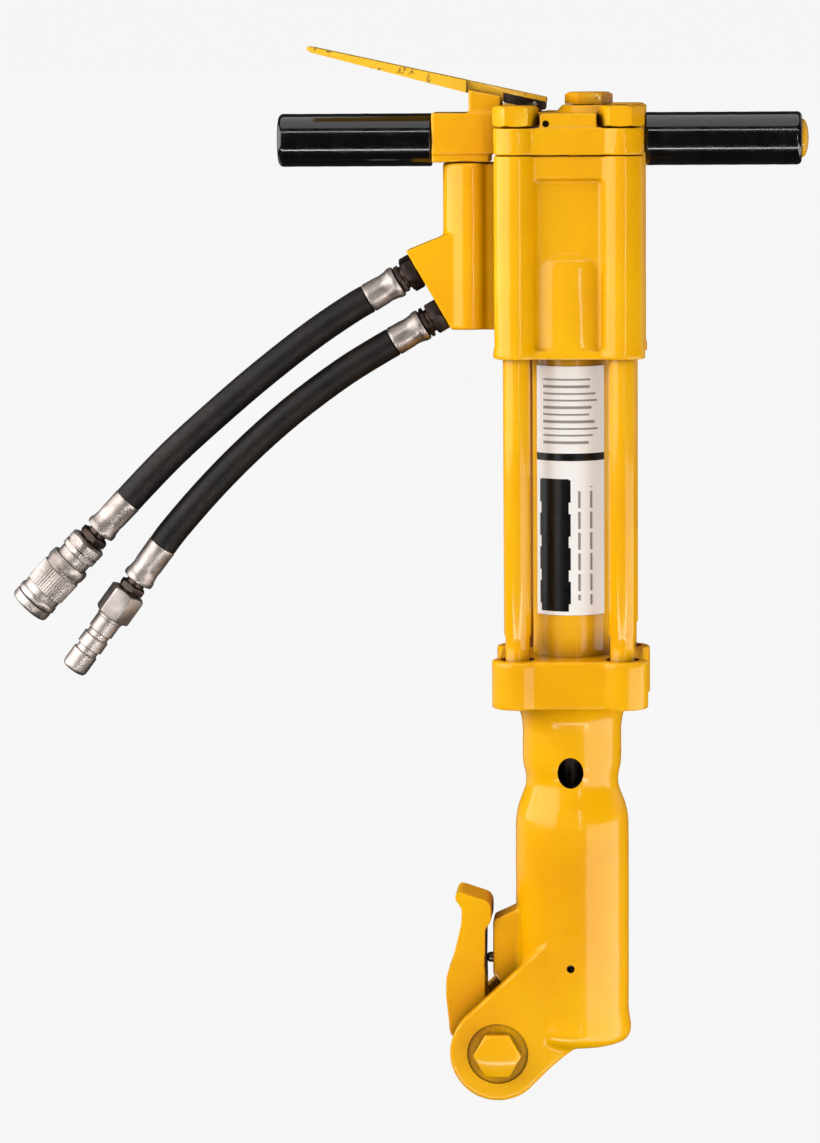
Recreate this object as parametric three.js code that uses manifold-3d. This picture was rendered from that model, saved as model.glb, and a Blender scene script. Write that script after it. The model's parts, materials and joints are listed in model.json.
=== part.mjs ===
// Hand-held hydraulic pavement breaker, built as an assembly of separate pieces.
// Millimetres, +Z up the tool axis, front of the tool towards -Y.
// The origin is on the tool axis, in the plane of the foot's bottom face.

import * as THREE from 'three';
import { mergeVertices } from 'three/addons/utils/BufferGeometryUtils.js';
import Module from 'manifold-3d';

const wasm = await Module();
wasm.setup();

// ---------------------------------------------------------------- driving dimensions

const GAP = 0.3;              // clearance kept between touching pieces
const FINE = 28;              // facets on the largest round shapes
const ROUND = 20;             // facets on ordinary round shapes
const SMALL = 12;             // facets on small or hidden round shapes

const ROD = { pitch: 35.6, r: 9.2, neckR: 8.3, bottom: 243.5, neckTop: 288, top: 640.6 };
const ROD_BORE = ROD.r + 0.35;

const FOOT = {
  collarR: 40, collarTop: 18, bodyR: 39, bodyTop: 154, waistR: 31.7, waistZ: 183,
  neckR: 33.8, neckBottom: 198, neckTop: 222, flareR: 44, flangeBottom: 238, flangeTop: 271,
  lobeR: 17.6, sideY: 49, mouthR: 28, mouthTop: 30, seatR: 25, seatTop: 160,
  chamberR: 17, chamberTop: 205, glandR: 20.3, glandTop: 244, spigotR: 26.6,
};
const VENT = { z: 192, rx: 8.9, rz: 10.85 };
const DRAIN = { z: 57, r: 2.75 };
const HEX_SOCKET = 32;        // across flats, for a 1-1/4 in hexagon tool shank

const PIVOT = { x: -50.5, z: -3.5, boreR: 9.85, shankR: 9.5, headAF: 28.6, headH: 11 };
const EAR = { inner: 20, outer: 36, r: 33, slope: 0.77, seatR: 21, seatDepth: 2 };
const LUG = { left: -54.6, top: 85.5, bottom: 48, half: 14, rootX: -34, rootTop: 95, rootBottom: 28 };
const DETENT = { z: 57, boreR: 6, shellR: 5.7, pinBoreR: 3.9, pinR: 3.6, tip: -59.8, rear: -46.5 };
const LATCH = { half: 19.4, hubR: 20, slotR: 33.4 };

const HOUSING = {
  bottom: 476, top: 612.7, lobeR: 15, side: 45, panelZ: 545, panelDepth: 3.5, panelHalf: 16.5,
  panelTop: 596, spigotTop: 520, bodyR: 27.3, bodyTop: 560, accuR: 30.3,
};
const COLUMN = { x: -69, r: 17.8, bottom: 494, top: 607.2, webHalf: 13 };
const WEDGE = { rootX: -60, shoulderX: -86, shoulderZ: 557.5 };
const PORT = { half: 15, topX: -111.6, topZ: 547.6, first: 15.1, spacing: 34.2, boreR: 8.3, depth: 9 };

const HANDLE = {
  bottom: 613, flangeTop: 631.5, top: 641.5, side: 46, armLeft: -93.8, armBottom: 607.5,
  armHalf: 17, right: 50.6, towerHalf: 19, towerDepth: 44, barZ: 622.5, stubR: 9, stubLength: 22,
};
const TUBE = { outerR: 13, innerR: 9.8, leftEnd: -195.2, rightEnd: 156.6, dome: 161 };
const GRIP = { outerR: 18, innerR: 13.3, leftEnd: -198.6, rightEnd: 156.4, round: 3 };
const NUT = { af: 27, bottom: 631.8, top: 646, chamfer: 2.6, boreTop: 641.2 };
const PLUG = { x: 12.5, af: 28.5, bossR: 20.5, bossTop: 646, top: 654.3, threadR: 8, threadBottom: 634.3 };

const TRIGGER = {
  pinX: -23.5, pinZ: 646.4, pinR: 1.5, boreR: 1.8, tongueR: 3.3, tongueHalf: 5.5, plate: 3,
  handHalf: 12.5, heelHalf: 9, cheekInner: 9.6, cheekOuter: 15, shoulderX: -70,
};
const LEVER_TOP = { endX: -15.9, endZ: 650.9, rise: 0.2185 };
const GUARD = { left: -68.5, right: -46.5, leftTop: 656.5, rightTop: 652 };
const CASTING_HOLE = { x: -15, z: 634, r: 2.2, depth: 9 };
const SPOOL = {
  x: -62, landR: 7, boreR: 7.3, grooveR: 4.5, stemR: 4, bottom: 524, top: 651.5,
  plugR: 10, plugBoreR: 10.3, plugTop: 505.7, chamberBottom: 506, glandR: 8, glandBottom: 631,
  lands: 3, landPitch: 27, landHeight: 15, landsHeight: 69,
};

const CYLINDER = { outerR: 26.3, innerR: 19, bottom: 244.3, top: 519.7 };
const PISTON = { shaftR: 14.7, landR: 18.7, bottom: 168, landBottom: 330, landTop: 365, top: 455 };
const VALVE = { boreR: 8, pocketR: 18, lip: 4, ringR: 12, ringHeight: 19.5 };
const LABEL = { r: 26.6, thick: 0.6, halfAngle: 1.04, bottom: 300, top: 470 };

const HOSE = { r: 10.05, sides: 10, steps: 6 };
const FERRULE = { r: 10.3, lipR: 11.2, startFrom: 15.5, startTo: 39.5 };
const PORT_FALL = Math.PI / 6;        // the port axes fall 30 degrees below level, to the left
const UPPER_FALL = 0.8116;            // fall of the upper coupler's axis, radians
const LOWER_FALL = 0.9372;            // fall of the lower coupler's axis, radians
const UPPER_END = { ferrule: 30, length: 73.4 };
const LOWER_END = { ferrule: 30.6, length: 76.9 };

// The hoses' centre lines, chosen by hand, as [x, z] in the plane y = 0.
const UPPER_ROUTE = [
  [-138.8, 514.4], [-147.5, 509.4], [-173.9, 491.9], [-210.2, 464.1],
  [-243.2, 436.2], [-274.3, 408.2], [-299, 383], [-305.1, 376.5],
];
const LOWER_ROUTE = [
  [-121.7, 484.8], [-130.4, 479.8], [-154.9, 464.7], [-192.6, 436.8],
  [-224.3, 408.8], [-251.9, 380.7], [-276.7, 352.1], [-282, 344.9],
];

// ---------------------------------------------------------------- materials

const COLOURS = {
  yellow: [0xf5a800, 0.35, 0.1], grip: [0x0b0b0c, 0.25, 0.0], rubber: [0x171514, 0.6, 0.0],
  steel: [0xb9b4b0, 0.35, 0.9], bright: [0xd9d4d0, 0.25, 0.95], dark: [0x2a2624, 0.45, 0.8],
  white: [0xf2f2f0, 0.4, 0.0], bronze: [0xa67c3a, 0.4, 0.8],
};

function material(key) {
  const [color, roughness, metalness] = COLOURS[key];
  return new THREE.MeshStandardMaterial({ color, roughness, metalness });
}

// ---------------------------------------------------------------- solids

function signedVolume(points, triangles) {
  const a = new THREE.Vector3();
  const b = new THREE.Vector3();
  const c = new THREE.Vector3();
  let volume = 0;
  for (let i = 0; i < triangles.length; i += 3) {
    a.fromArray(points, 3 * triangles[i]);
    b.fromArray(points, 3 * triangles[i + 1]);
    c.fromArray(points, 3 * triangles[i + 2]);
    volume += a.dot(b.cross(c));
  }
  return volume / 6;
}

function solid(geometry) {
  const bare = geometry.clone();
  bare.deleteAttribute('normal');
  bare.deleteAttribute('uv');
  const merged = mergeVertices(bare, 1e-4);
  const points = merged.attributes.position.array;
  const index = merged.index.array;
  const triangles = [];
  for (let i = 0; i < index.length; i += 3) {
    const [a, b, c] = [index[i], index[i + 1], index[i + 2]];
    if (a !== b && b !== c && c !== a) triangles.push(a, b, c);
  }
  if (signedVolume(points, triangles) < 0) triangles.reverse();
  const mesh = new wasm.Mesh({
    numProp: 3,
    vertProperties: new Float32Array(points),
    triVerts: new Uint32Array(triangles),
  });
  return new wasm.Manifold(mesh);
}

function join(first, ...others) {
  return others.reduce((whole, other) => whole.add(other), first);
}

function cut(first, ...others) {
  return others.reduce((whole, other) => whole.subtract(other), first);
}

function geometryOf(manifold) {
  const mesh = manifold.getMesh();
  const geometry = new THREE.BufferGeometry();
  geometry.setAttribute('position', new THREE.BufferAttribute(mesh.vertProperties, 3));
  geometry.setIndex(new THREE.BufferAttribute(mesh.triVerts, 1));
  geometry.computeVertexNormals();
  return geometry;
}

function box(x0, x1, y0, y1, z0, z1) {
  const geometry = new THREE.BoxGeometry(x1 - x0, y1 - y0, z1 - z0);
  geometry.translate((x0 + x1) / 2, (y0 + y1) / 2, (z0 + z1) / 2);
  return solid(geometry);
}

// A prism or cylinder along Z. Six sides and half a turn of a facet put two flats across Y.
function post(r, z0, z1, x = 0, y = 0, sides = ROUND, turn = 0) {
  const geometry = new THREE.CylinderGeometry(r, r, z1 - z0, sides);
  geometry.rotateY(turn);
  geometry.rotateX(Math.PI / 2);
  geometry.translate(x, y, (z0 + z1) / 2);
  return solid(geometry);
}

function hexagon(acrossFlats, z0, z1, x = 0, y = 0, turn = 0) {
  return post(acrossFlats / Math.sqrt(3), z0, z1, x, y, 6, turn);
}

// A cylinder along Y, across the tool.
function crossPost(r, y0, y1, x, z, sides = ROUND) {
  const geometry = new THREE.CylinderGeometry(r, r, y1 - y0, sides);
  geometry.translate(x, (y0 + y1) / 2, z);
  return solid(geometry);
}

// A cylinder along X.
function sidePost(r, x0, x1, y, z, sides = ROUND) {
  const geometry = new THREE.CylinderGeometry(r, r, x1 - x0, sides);
  geometry.rotateZ(Math.PI / 2);
  geometry.translate((x0 + x1) / 2, y, z);
  return solid(geometry);
}

// A turned piece about Z from [radius, z] points that start and end on the axis, or a ring.
function turned(profile, sides = ROUND) {
  const points = profile.map(([r, z]) => new THREE.Vector2(r, z));
  const geometry = new THREE.LatheGeometry(points, sides);
  geometry.rotateX(Math.PI / 2);
  return solid(geometry);
}

function ring(profile, sides = ROUND) {
  return turned([...profile, profile[0]], sides);
}

function outline(points) {
  return new THREE.Shape(points.map(([x, y]) => new THREE.Vector2(x, y)));
}

// A shape drawn in plan (x, y), from z0 up to z1.
function slab(shape, z0, z1, curveSegments = 8) {
  const geometry = new THREE.ExtrudeGeometry(shape, {
    depth: z1 - z0, bevelEnabled: false, curveSegments,
  });
  geometry.translate(0, 0, z0);
  return solid(geometry);
}

// A shape drawn in side view (x, z), from y0 back to y1.
function plate(shape, y0, y1, curveSegments = 8) {
  const geometry = new THREE.ExtrudeGeometry(shape, {
    depth: y1 - y0, bevelEnabled: false, curveSegments,
  });
  geometry.rotateX(Math.PI / 2);
  geometry.translate(0, y1, 0);
  return solid(geometry);
}

// A square outline with a round lobe about each side rod and flat sides between them.
function lobed(lobeR, side) {
  const reach = Math.sqrt(lobeR ** 2 - (side - ROD.pitch) ** 2);
  const swing = Math.atan2(reach, side - ROD.pitch);
  const shape = new THREE.Shape();
  for (let corner = 0; corner < 4; corner += 1) {
    const middle = Math.PI / 4 + corner * Math.PI / 2;
    const x = ROD.pitch * Math.SQRT2 * Math.cos(middle);
    const y = ROD.pitch * Math.SQRT2 * Math.sin(middle);
    const half = Math.PI / 4 + swing;
    if (corner === 0) {
      shape.moveTo(x + lobeR * Math.cos(middle - half), y + lobeR * Math.sin(middle - half));
    }
    shape.absarc(x, y, lobeR, middle - half, middle + half, false);
  }
  shape.closePath();
  return shape;
}

function atRods(make) {
  const places = [[-1, -1], [1, -1], [-1, 1], [1, 1]];
  return places.map(([sx, sy]) => make(sx * ROD.pitch, sy * ROD.pitch));
}

// ---------------------------------------------------------------- foot and latch

function earShape() {
  const back = Math.PI / 2 + EAR.slope;
  const lower = -0.80;
  const bottomRight = [
    PIVOT.x + EAR.r * Math.cos(lower), PIVOT.z + EAR.r * Math.sin(lower),
  ];
  const shape = new THREE.Shape();
  shape.moveTo(-14, 76);
  shape.lineTo(PIVOT.x + EAR.r * Math.cos(back), PIVOT.z + EAR.r * Math.sin(back));
  shape.absarc(PIVOT.x, PIVOT.z, EAR.r, back, lower + 2 * Math.PI, false);
  shape.quadraticCurveTo(bottomRight[0] + 20, bottomRight[1] + 22, 6, 0);
  shape.lineTo(6, 20);
  shape.lineTo(-14, 40);
  shape.closePath();
  return shape;
}

function lugShape() {
  return outline([
    [LUG.left, LUG.bottom], [LUG.rootX, LUG.rootBottom],
    [LUG.rootX, LUG.rootTop], [LUG.left, LUG.top],
  ]);
}

function foot() {
  const f = FOOT;
  const barrel = turned([
    [0, 0], [f.collarR - 3, 0], [f.collarR, 3], [f.collarR, f.collarTop - 2],
    [f.bodyR, f.collarTop + 2], [f.bodyR, f.bodyTop], [f.bodyR - 2.2, f.bodyTop + 13],
    [f.waistR, f.waistZ - 4], [f.waistR, f.waistZ + 3], [f.neckR, f.neckBottom],
    [f.neckR, f.neckTop], [f.neckR + 3, f.neckTop + 10], [f.flareR, f.flangeBottom],
    [f.flareR, f.flangeBottom + 5], [0, f.flangeBottom + 5],
  ], FINE);
  const flange = slab(lobed(f.lobeR, f.sideY), f.flangeBottom, f.flangeTop);
  const ears = [plate(earShape(), -EAR.outer, -EAR.inner), plate(earShape(), EAR.inner, EAR.outer)];
  const lug = plate(lugShape(), -LUG.half, LUG.half);
  const body = join(barrel, flange, ...ears, lug);
  const below = -60;
  const hollows = [
    post(f.mouthR, below, f.mouthTop, 0, 0, FINE),
    post(f.seatR, 0, f.seatTop, 0, 0, FINE),
    post(f.chamberR, f.seatTop - 1, f.chamberTop),
    post(f.glandR, f.chamberTop, f.glandTop),
    post(f.spigotR, f.glandTop, f.flangeTop + 1, 0, 0, FINE),
    ...atRods((x, y) => post(ROD_BORE, ROD.bottom - GAP, f.flangeTop + 1, x, y, SMALL)),
    crossPost(LATCH.slotR, -EAR.inner, EAR.inner, PIVOT.x, PIVOT.z, FINE),
    crossPost(PIVOT.boreR, -EAR.outer - 1, EAR.outer + 1, PIVOT.x, PIVOT.z),
    crossPost(EAR.seatR, -EAR.outer - 1, -EAR.outer + EAR.seatDepth, PIVOT.x, PIVOT.z),
    crossPost(DRAIN.r, -f.collarR - 1, -f.seatR + 1, 0, DRAIN.z, SMALL),
    sidePost(DETENT.boreR, LUG.left - 1, LUG.left + 14, 0, DETENT.z, SMALL),
    ventHole(),
  ];
  return cut(body, ...hollows);
}

function ventHole() {
  const geometry = new THREE.CylinderGeometry(VENT.rx, VENT.rx, 2 * FOOT.bodyR, ROUND);
  geometry.scale(1, 1, VENT.rz / VENT.rx);
  geometry.translate(0, 0, VENT.z);
  return solid(geometry);
}

function toolBushing() {
  const f = FOOT;
  const sleeve = post(f.seatR - GAP, f.mouthTop + GAP, f.seatTop - GAP, 0, 0, FINE);
  const lead = turned([
    [0, f.mouthTop - 1], [HEX_SOCKET / 2 + 5, f.mouthTop - 1],
    [HEX_SOCKET / 2, f.mouthTop + 6], [0, f.mouthTop + 6],
  ]);
  return cut(sleeve, hexagon(HEX_SOCKET, 0, f.seatTop + 1, 0, 0, Math.PI / 6), lead);
}

function latch() {
  const arm = outline([
    [-78.3, 107], [-81.6, 102], [-75.6, 94], [-75.9, 84], [-82.6, 58], [-86.8, 46.5],
    [-87.4, 34.6], [-84.4, 6], [-70, -6], [-50, -6], [-42, 10], [-59.2, 26], [-60.1, 57],
    [-59.4, 80], [-55.1, 85.5], [-55.1, 96.5], [-58, 100.5],
  ]);
  const toe = outline([[-54, 14], [-31, 6], [-20, 2], [-20.5, -6], [-31, -18], [-54, -21]]);
  const whole = join(
    plate(arm, -LATCH.half, LATCH.half),
    plate(toe, -LATCH.half, LATCH.half),
    crossPost(LATCH.hubR, -LATCH.half, LATCH.half, PIVOT.x, PIVOT.z),
  );
  return cut(whole, crossPost(PIVOT.boreR, -EAR.outer, EAR.outer, PIVOT.x, PIVOT.z));
}

// A hexagon across the tool, along Y, with two corners level.
function crossHexagon(acrossFlats, y0, y1, x, z) {
  const r = acrossFlats / Math.sqrt(3);
  const geometry = new THREE.CylinderGeometry(r, r, y1 - y0, 6);
  geometry.rotateY(Math.PI / 6);
  geometry.translate(x, (y0 + y1) / 2, z);
  return solid(geometry);
}

function latchBolt() {
  const headBack = -EAR.outer + EAR.seatDepth - GAP;
  return join(
    crossHexagon(PIVOT.headAF, headBack - PIVOT.headH, headBack, PIVOT.x, PIVOT.z),
    crossPost(PIVOT.shankR, headBack - 1, EAR.outer + 18, PIVOT.x, PIVOT.z),
  );
}

function latchNut() {
  const nut = crossHexagon(PIVOT.headAF, EAR.outer + GAP, EAR.outer + 15, PIVOT.x, PIVOT.z);
  return cut(nut, crossPost(PIVOT.boreR, 0, EAR.outer + 20, PIVOT.x, PIVOT.z));
}

function detentShell() {
  const shell = sidePost(DETENT.shellR, LUG.left + 0.5, LUG.left + 13.5, 0, DETENT.z, SMALL);
  return cut(shell, sidePost(DETENT.pinBoreR, LUG.left - 1, LUG.left + 12.5, 0, DETENT.z, SMALL));
}

function detentPin() {
  const nose = 2.4;
  const pin = turned([
    [0, 0], [DETENT.pinR - 1.8, 0], [DETENT.pinR, nose],
    [DETENT.pinR, DETENT.rear - DETENT.tip], [0, DETENT.rear - DETENT.tip],
  ], SMALL);
  return pin.rotate([0, 90, 0]).translate([DETENT.tip, 0, DETENT.z]);
}

// ---------------------------------------------------------------- power section

function sideRod(x, y) {
  const rod = turned([
    [0, ROD.bottom], [ROD.r, ROD.bottom], [ROD.r, FOOT.flangeTop - 2],
    [ROD.neckR, FOOT.flangeTop], [ROD.neckR, ROD.neckTop - 2], [ROD.r, ROD.neckTop],
    [ROD.r, ROD.top - 1.5], [ROD.r - 1.5, ROD.top], [0, ROD.top],
  ], SMALL);
  return rod.translate([x, y, 0]);
}

function capNut(x, y) {
  const body = hexagon(NUT.af, NUT.bottom, NUT.top, x, y, Math.PI / 6);
  const cornerR = NUT.af / Math.sqrt(3);
  const crown = turned([
    [0, NUT.bottom - 1], [cornerR + 1, NUT.bottom - 1], [cornerR + 1, NUT.top - NUT.chamfer],
    [NUT.af / 2 - 1.2, NUT.top], [0, NUT.top],
  ]).translate([x, y, 0]);
  return cut(body.intersect(crown), post(ROD_BORE, NUT.bottom - 1, NUT.boreTop, x, y, SMALL));
}

function cylinder() {
  const c = CYLINDER;
  return ring([[c.innerR, c.bottom], [c.outerR, c.bottom], [c.outerR, c.top], [c.innerR, c.top]], FINE);
}

function piston() {
  const p = PISTON;
  return turned([
    [0, p.bottom], [p.shaftR - 2, p.bottom], [p.shaftR, p.bottom + 2], [p.shaftR, p.landBottom],
    [p.landR, p.landBottom], [p.landR, p.landTop], [p.shaftR, p.landTop], [p.shaftR, p.top],
    [0, p.top],
  ]);
}

function pistonBushing() {
  const r = FOOT.glandR - GAP;
  const bottom = FOOT.chamberTop + GAP;
  const top = FOOT.glandTop - GAP;
  return ring([[PISTON.shaftR + GAP, bottom], [r, bottom], [r, top], [PISTON.shaftR + GAP, top]]);
}

function label() {
  const l = LABEL;
  const middle = -Math.PI / 2;
  const shape = new THREE.Shape();
  shape.absarc(0, 0, l.r + l.thick, middle - l.halfAngle, middle + l.halfAngle, false);
  shape.absarc(0, 0, l.r, middle + l.halfAngle, middle - l.halfAngle, true);
  shape.closePath();
  return slab(shape, l.bottom, l.top, 14);
}

function valveBody() {
  const r = HOUSING.bodyR - GAP;
  const bottom = HOUSING.spigotTop + GAP;
  const top = HOUSING.bodyTop - GAP;
  const v = VALVE;
  return ring([
    [v.boreR, bottom], [r, bottom], [r, top], [v.boreR, top], [v.boreR, top - v.lip],
    [v.pocketR, top - v.lip], [v.pocketR, bottom + v.lip], [v.boreR, bottom + v.lip],
  ]);
}

function reversingValve() {
  const v = VALVE;
  const r = v.pocketR - GAP;
  const bottom = HOUSING.spigotTop + v.lip + 2 * GAP;
  const top = bottom + v.ringHeight;
  return ring([[v.ringR, bottom], [r, bottom], [r, top], [v.ringR, top]]);
}

function accumulatorBase() {
  const r = HOUSING.accuR - GAP;
  const bottom = HOUSING.bodyTop + GAP;
  return ring([[5, bottom], [r, bottom], [r, bottom + 14], [5, bottom + 14]]);
}

function diaphragm() {
  const r = HOUSING.accuR - GAP;
  const z = HOUSING.bodyTop + 14.6;
  return turned([
    [0, z + 13.5], [16, z + 12], [22, z + 5.5], [22, z], [r, z], [r, z + 3.5],
    [24.5, z + 3.5], [24.5, z + 6.5], [17.5, z + 14.2], [0, z + 15.9],
  ]);
}

function accumulatorChamber() {
  const r = HOUSING.accuR - GAP;
  const bottom = HOUSING.bodyTop + 18.4;
  const top = HOUSING.top - GAP;
  const cup = turned([
    [0, top - 4], [20, top - 4], [26, top - 10], [26, bottom], [r, bottom], [r, top], [0, top],
  ]);
  return cut(cup, post(3.4, top - 6, top + 1, PLUG.x, 0, SMALL));
}

function housing() {
  const h = HOUSING;
  const c = COLUMN;
  const block = slab(lobed(h.lobeR, h.side), h.bottom, h.top);
  const column = post(c.r, c.bottom, c.top, c.x, 0);
  const web = box(c.x, -h.side + 2, -c.webHalf, c.webHalf, c.bottom, c.top);
  const wedge = plate(outline([
    [portFaceX(c.bottom), c.bottom], [WEDGE.rootX, c.bottom], [WEDGE.rootX, WEDGE.shoulderZ],
    [WEDGE.shoulderX, WEDGE.shoulderZ],
    [PORT.topX, PORT.topZ],
  ]), -PORT.half, PORT.half);
  const clear = plate(outline([
    [portFaceX(c.bottom - 5), c.bottom - 5], [PORT.topX, PORT.topZ],
    [PORT.topX - 20, PORT.topZ], [PORT.topX - 20, c.bottom - 5],
  ]), -30, 30);
  const panels = [-1, 1].map((side) => {
    const y = side * (h.side + 1 - h.panelDepth / 2);
    return box(-h.panelHalf, h.panelHalf, y - h.panelDepth / 2 - 1, y + h.panelDepth / 2 + 1,
      h.panelZ, h.panelTop);
  });
  const hollows = [
    clear,
    post(FOOT.spigotR, h.bottom - 1, h.spigotTop, 0, 0, FINE),
    post(h.bodyR, h.spigotTop, h.bodyTop, 0, 0, FINE),
    post(h.accuR, h.bodyTop, h.top + 1, 0, 0, FINE),
    ...atRods((x, y) => post(ROD_BORE, h.bottom - 1, h.top + 1, x, y, SMALL)),
    post(SPOOL.boreR, SPOOL.chamberBottom, c.top + 1, SPOOL.x, 0, SMALL),
    post(SPOOL.plugBoreR, c.bottom - 1, SPOOL.chamberBottom, SPOOL.x, 0, SMALL),
    ...portPlaces().map(({ x, z }) => portBore(x, z)),
  ];
  return cut(join(block, column, web, wedge), ...panels, ...hollows);
}

// ---------------------------------------------------------------- handle and trigger

function leverTop(x) {
  return LEVER_TOP.endZ + LEVER_TOP.rise * (LEVER_TOP.endX - x);
}

function handleCasting() {
  const h = HANDLE;
  const t = TRIGGER;
  const flange = slab(lobed(HOUSING.lobeR, h.side), h.bottom, h.flangeTop);
  const bar = box(h.armLeft, h.right, -h.armHalf, h.armHalf, h.bottom, h.top - 0.5);
  const arm = box(h.armLeft, -54, -h.armHalf + 2, h.armHalf - 2, h.armBottom, h.bottom + 1);
  const tower = box(-h.towerHalf, h.towerHalf, -h.towerDepth, h.towerDepth, h.flangeTop - 1, h.top);
  const boss = turned([
    [0, h.top - 2], [PLUG.bossR + 2, h.top - 2], [PLUG.bossR, h.top + 1.5],
    [PLUG.bossR - 3, PLUG.bossTop], [0, PLUG.bossTop],
  ]).translate([PLUG.x, 0, 0]);
  const stubs = [
    sidePost(h.stubR, h.armLeft - h.stubLength, h.armLeft + 1, 0, h.barZ),
    sidePost(h.stubR, h.right - 1, h.right + h.stubLength, 0, h.barZ),
  ];
  const tongue = join(
    box(t.pinX - t.tongueR, t.pinX + t.tongueR, -t.tongueHalf, t.tongueHalf, h.top - 2, t.pinZ),
    crossPost(t.tongueR, -t.tongueHalf, t.tongueHalf, t.pinX, t.pinZ, SMALL),
  );
  const guard = outline([
    [GUARD.left, h.top - 2], [GUARD.right, h.top - 2], [GUARD.right, GUARD.rightTop],
    [GUARD.left, GUARD.leftTop],
  ]);
  const guards = [
    plate(guard, -t.cheekOuter, -t.cheekInner),
    plate(guard, t.cheekInner, t.cheekOuter),
  ];
  const body = join(flange, bar, arm, tower, boss, ...stubs, tongue, ...guards);
  const hollows = [
    ...atRods((x, y) => post(ROD_BORE, h.bottom - 1, h.flangeTop + 1, x, y, SMALL)),
    post(SPOOL.stemR + GAP, h.armBottom - 1, h.top + 1, SPOOL.x, 0, SMALL),
    post(SPOOL.glandR + GAP, SPOOL.glandBottom - GAP, h.top + 1, SPOOL.x, 0, SMALL),
    post(6.3, h.bottom - 1, PLUG.threadBottom, PLUG.x, 0, SMALL),
    post(PLUG.threadR + GAP, PLUG.threadBottom - GAP, PLUG.bossTop + 1, PLUG.x, 0, SMALL),
    crossPost(t.boreR, -t.cheekInner, t.cheekInner, t.pinX, t.pinZ, SMALL),
    crossPost(CASTING_HOLE.r, -h.towerDepth - 1, -h.towerDepth + CASTING_HOLE.depth,
      CASTING_HOLE.x, CASTING_HOLE.z, SMALL),
  ];
  return cut(body, ...hollows);
}

function spoolGland() {
  const s = SPOOL;
  const top = HANDLE.top - 0.8;
  return ring([
    [s.stemR + GAP, s.glandBottom], [s.glandR, s.glandBottom], [s.glandR, top], [s.stemR + GAP, top],
  ], SMALL).translate([s.x, 0, 0]);
}

function spool() {
  const s = SPOOL;
  const profile = [[0, s.bottom]];
  for (let land = 0; land < s.lands; land += 1) {
    const z = s.bottom + s.landPitch * land;
    const top = z + s.landHeight;
    profile.push([s.landR, z], [s.landR, top]);
    if (land < s.lands - 1) profile.push([s.grooveR, top], [s.grooveR, z + s.landPitch]);
  }
  profile.push([s.stemR, s.bottom + s.landsHeight], [s.stemR, s.top - 2], [1.5, s.top], [0, s.top]);
  return turned(profile, SMALL).translate([s.x, 0, 0]);
}

class Helix extends THREE.Curve {
  constructor(r, z0, z1, turns) {
    super();
    Object.assign(this, { r, z0, z1, turns });
  }

  getPoint(t, target = new THREE.Vector3()) {
    const angle = 2 * Math.PI * this.turns * t;
    const z = THREE.MathUtils.lerp(this.z0, this.z1, t);
    return target.set(this.r * Math.cos(angle), this.r * Math.sin(angle), z);
  }
}

function spoolSpring() {
  const wireR = 1;
  const path = new Helix(5.3, SPOOL.chamberBottom + 1.5, SPOOL.bottom - 1.5, 4);
  const wire = new THREE.Shape();
  wire.absarc(0, 0, wireR, 0, 2 * Math.PI, false);
  const geometry = new THREE.ExtrudeGeometry(wire, { extrudePath: path, steps: 40, curveSegments: 3 });
  geometry.translate(SPOOL.x, 0, 0);
  return solid(geometry);
}

function spoolPlug() {
  const plug = post(SPOOL.plugR, COLUMN.bottom + GAP, SPOOL.plugTop, SPOOL.x, 0, SMALL);
  return cut(plug, hexagon(8, COLUMN.bottom - 1, COLUMN.bottom + 7, SPOOL.x, 0));
}

function triggerLever() {
  const t = TRIGGER;
  const hand = outline([
    [-178, 683.8], [-174.7, 681.8], [t.shoulderX, 654.4], [t.shoulderX, leverTop(t.shoulderX)],
    [-174.7, leverTop(-174.7)], [-177.6, 686],
  ]);
  const heel = outline([
    [t.shoulderX - 1, 654.7], [-45, 648.4], [-45, leverTop(-45) - t.plate],
    [-16, leverTop(-16) - t.plate],
    [-16, leverTop(-16)], [t.shoulderX - 1, leverTop(t.shoulderX - 1)],
  ]);
  const relief = crossPost(t.tongueR + 0.6, -t.tongueHalf - 0.4, t.tongueHalf + 0.4, t.pinX, t.pinZ, SMALL);
  return cut(join(plate(hand, -t.handHalf, t.handHalf), plate(heel, -t.heelHalf, t.heelHalf)), relief);
}

function triggerSaddle() {
  const t = TRIGGER;
  const side = outline([
    [-44.7, 647.6], [-17.2, 642.4], [-16.4, 644], [-16.4, leverTop(-16.4) - t.plate - GAP],
    [-44.7, leverTop(-44.7) - t.plate - GAP],
  ]);
  const wall = t.tongueHalf + 0.5;
  const inside = box(-34, 0, -wall, wall, HANDLE.top, 660);
  const bore = crossPost(t.boreR, -t.heelHalf - 1, t.heelHalf + 1, t.pinX, t.pinZ, SMALL);
  return cut(plate(side, -t.heelHalf, t.heelHalf), inside, bore);
}

function triggerPin() {
  const half = TRIGGER.heelHalf + 0.4;
  return crossPost(TRIGGER.pinR, -half, half, TRIGGER.pinX, TRIGGER.pinZ, SMALL);
}

// A turned piece about the handle bar's axis from [radius, x] points.
function barTurned(profile, closed) {
  const shape = closed ? turned(profile, ROUND) : ring(profile, ROUND);
  return shape.rotate([0, 90, 0]).translate([0, 0, HANDLE.barZ]);
}

function leftTube() {
  const near = HANDLE.armLeft - GAP;
  return barTurned([
    [TUBE.innerR, TUBE.leftEnd], [TUBE.outerR, TUBE.leftEnd], [TUBE.outerR, near], [TUBE.innerR, near],
  ], false);
}

function rightTube() {
  const near = HANDLE.right + GAP;
  return barTurned([
    [0, TUBE.rightEnd - 2], [TUBE.innerR, TUBE.rightEnd - 2], [TUBE.innerR, near],
    [TUBE.outerR, near], [TUBE.outerR, TUBE.rightEnd], [TUBE.outerR - 1.5, TUBE.rightEnd + 2.6],
    [TUBE.outerR - 6, TUBE.dome - 0.5], [0, TUBE.dome],
  ], true);
}

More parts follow.
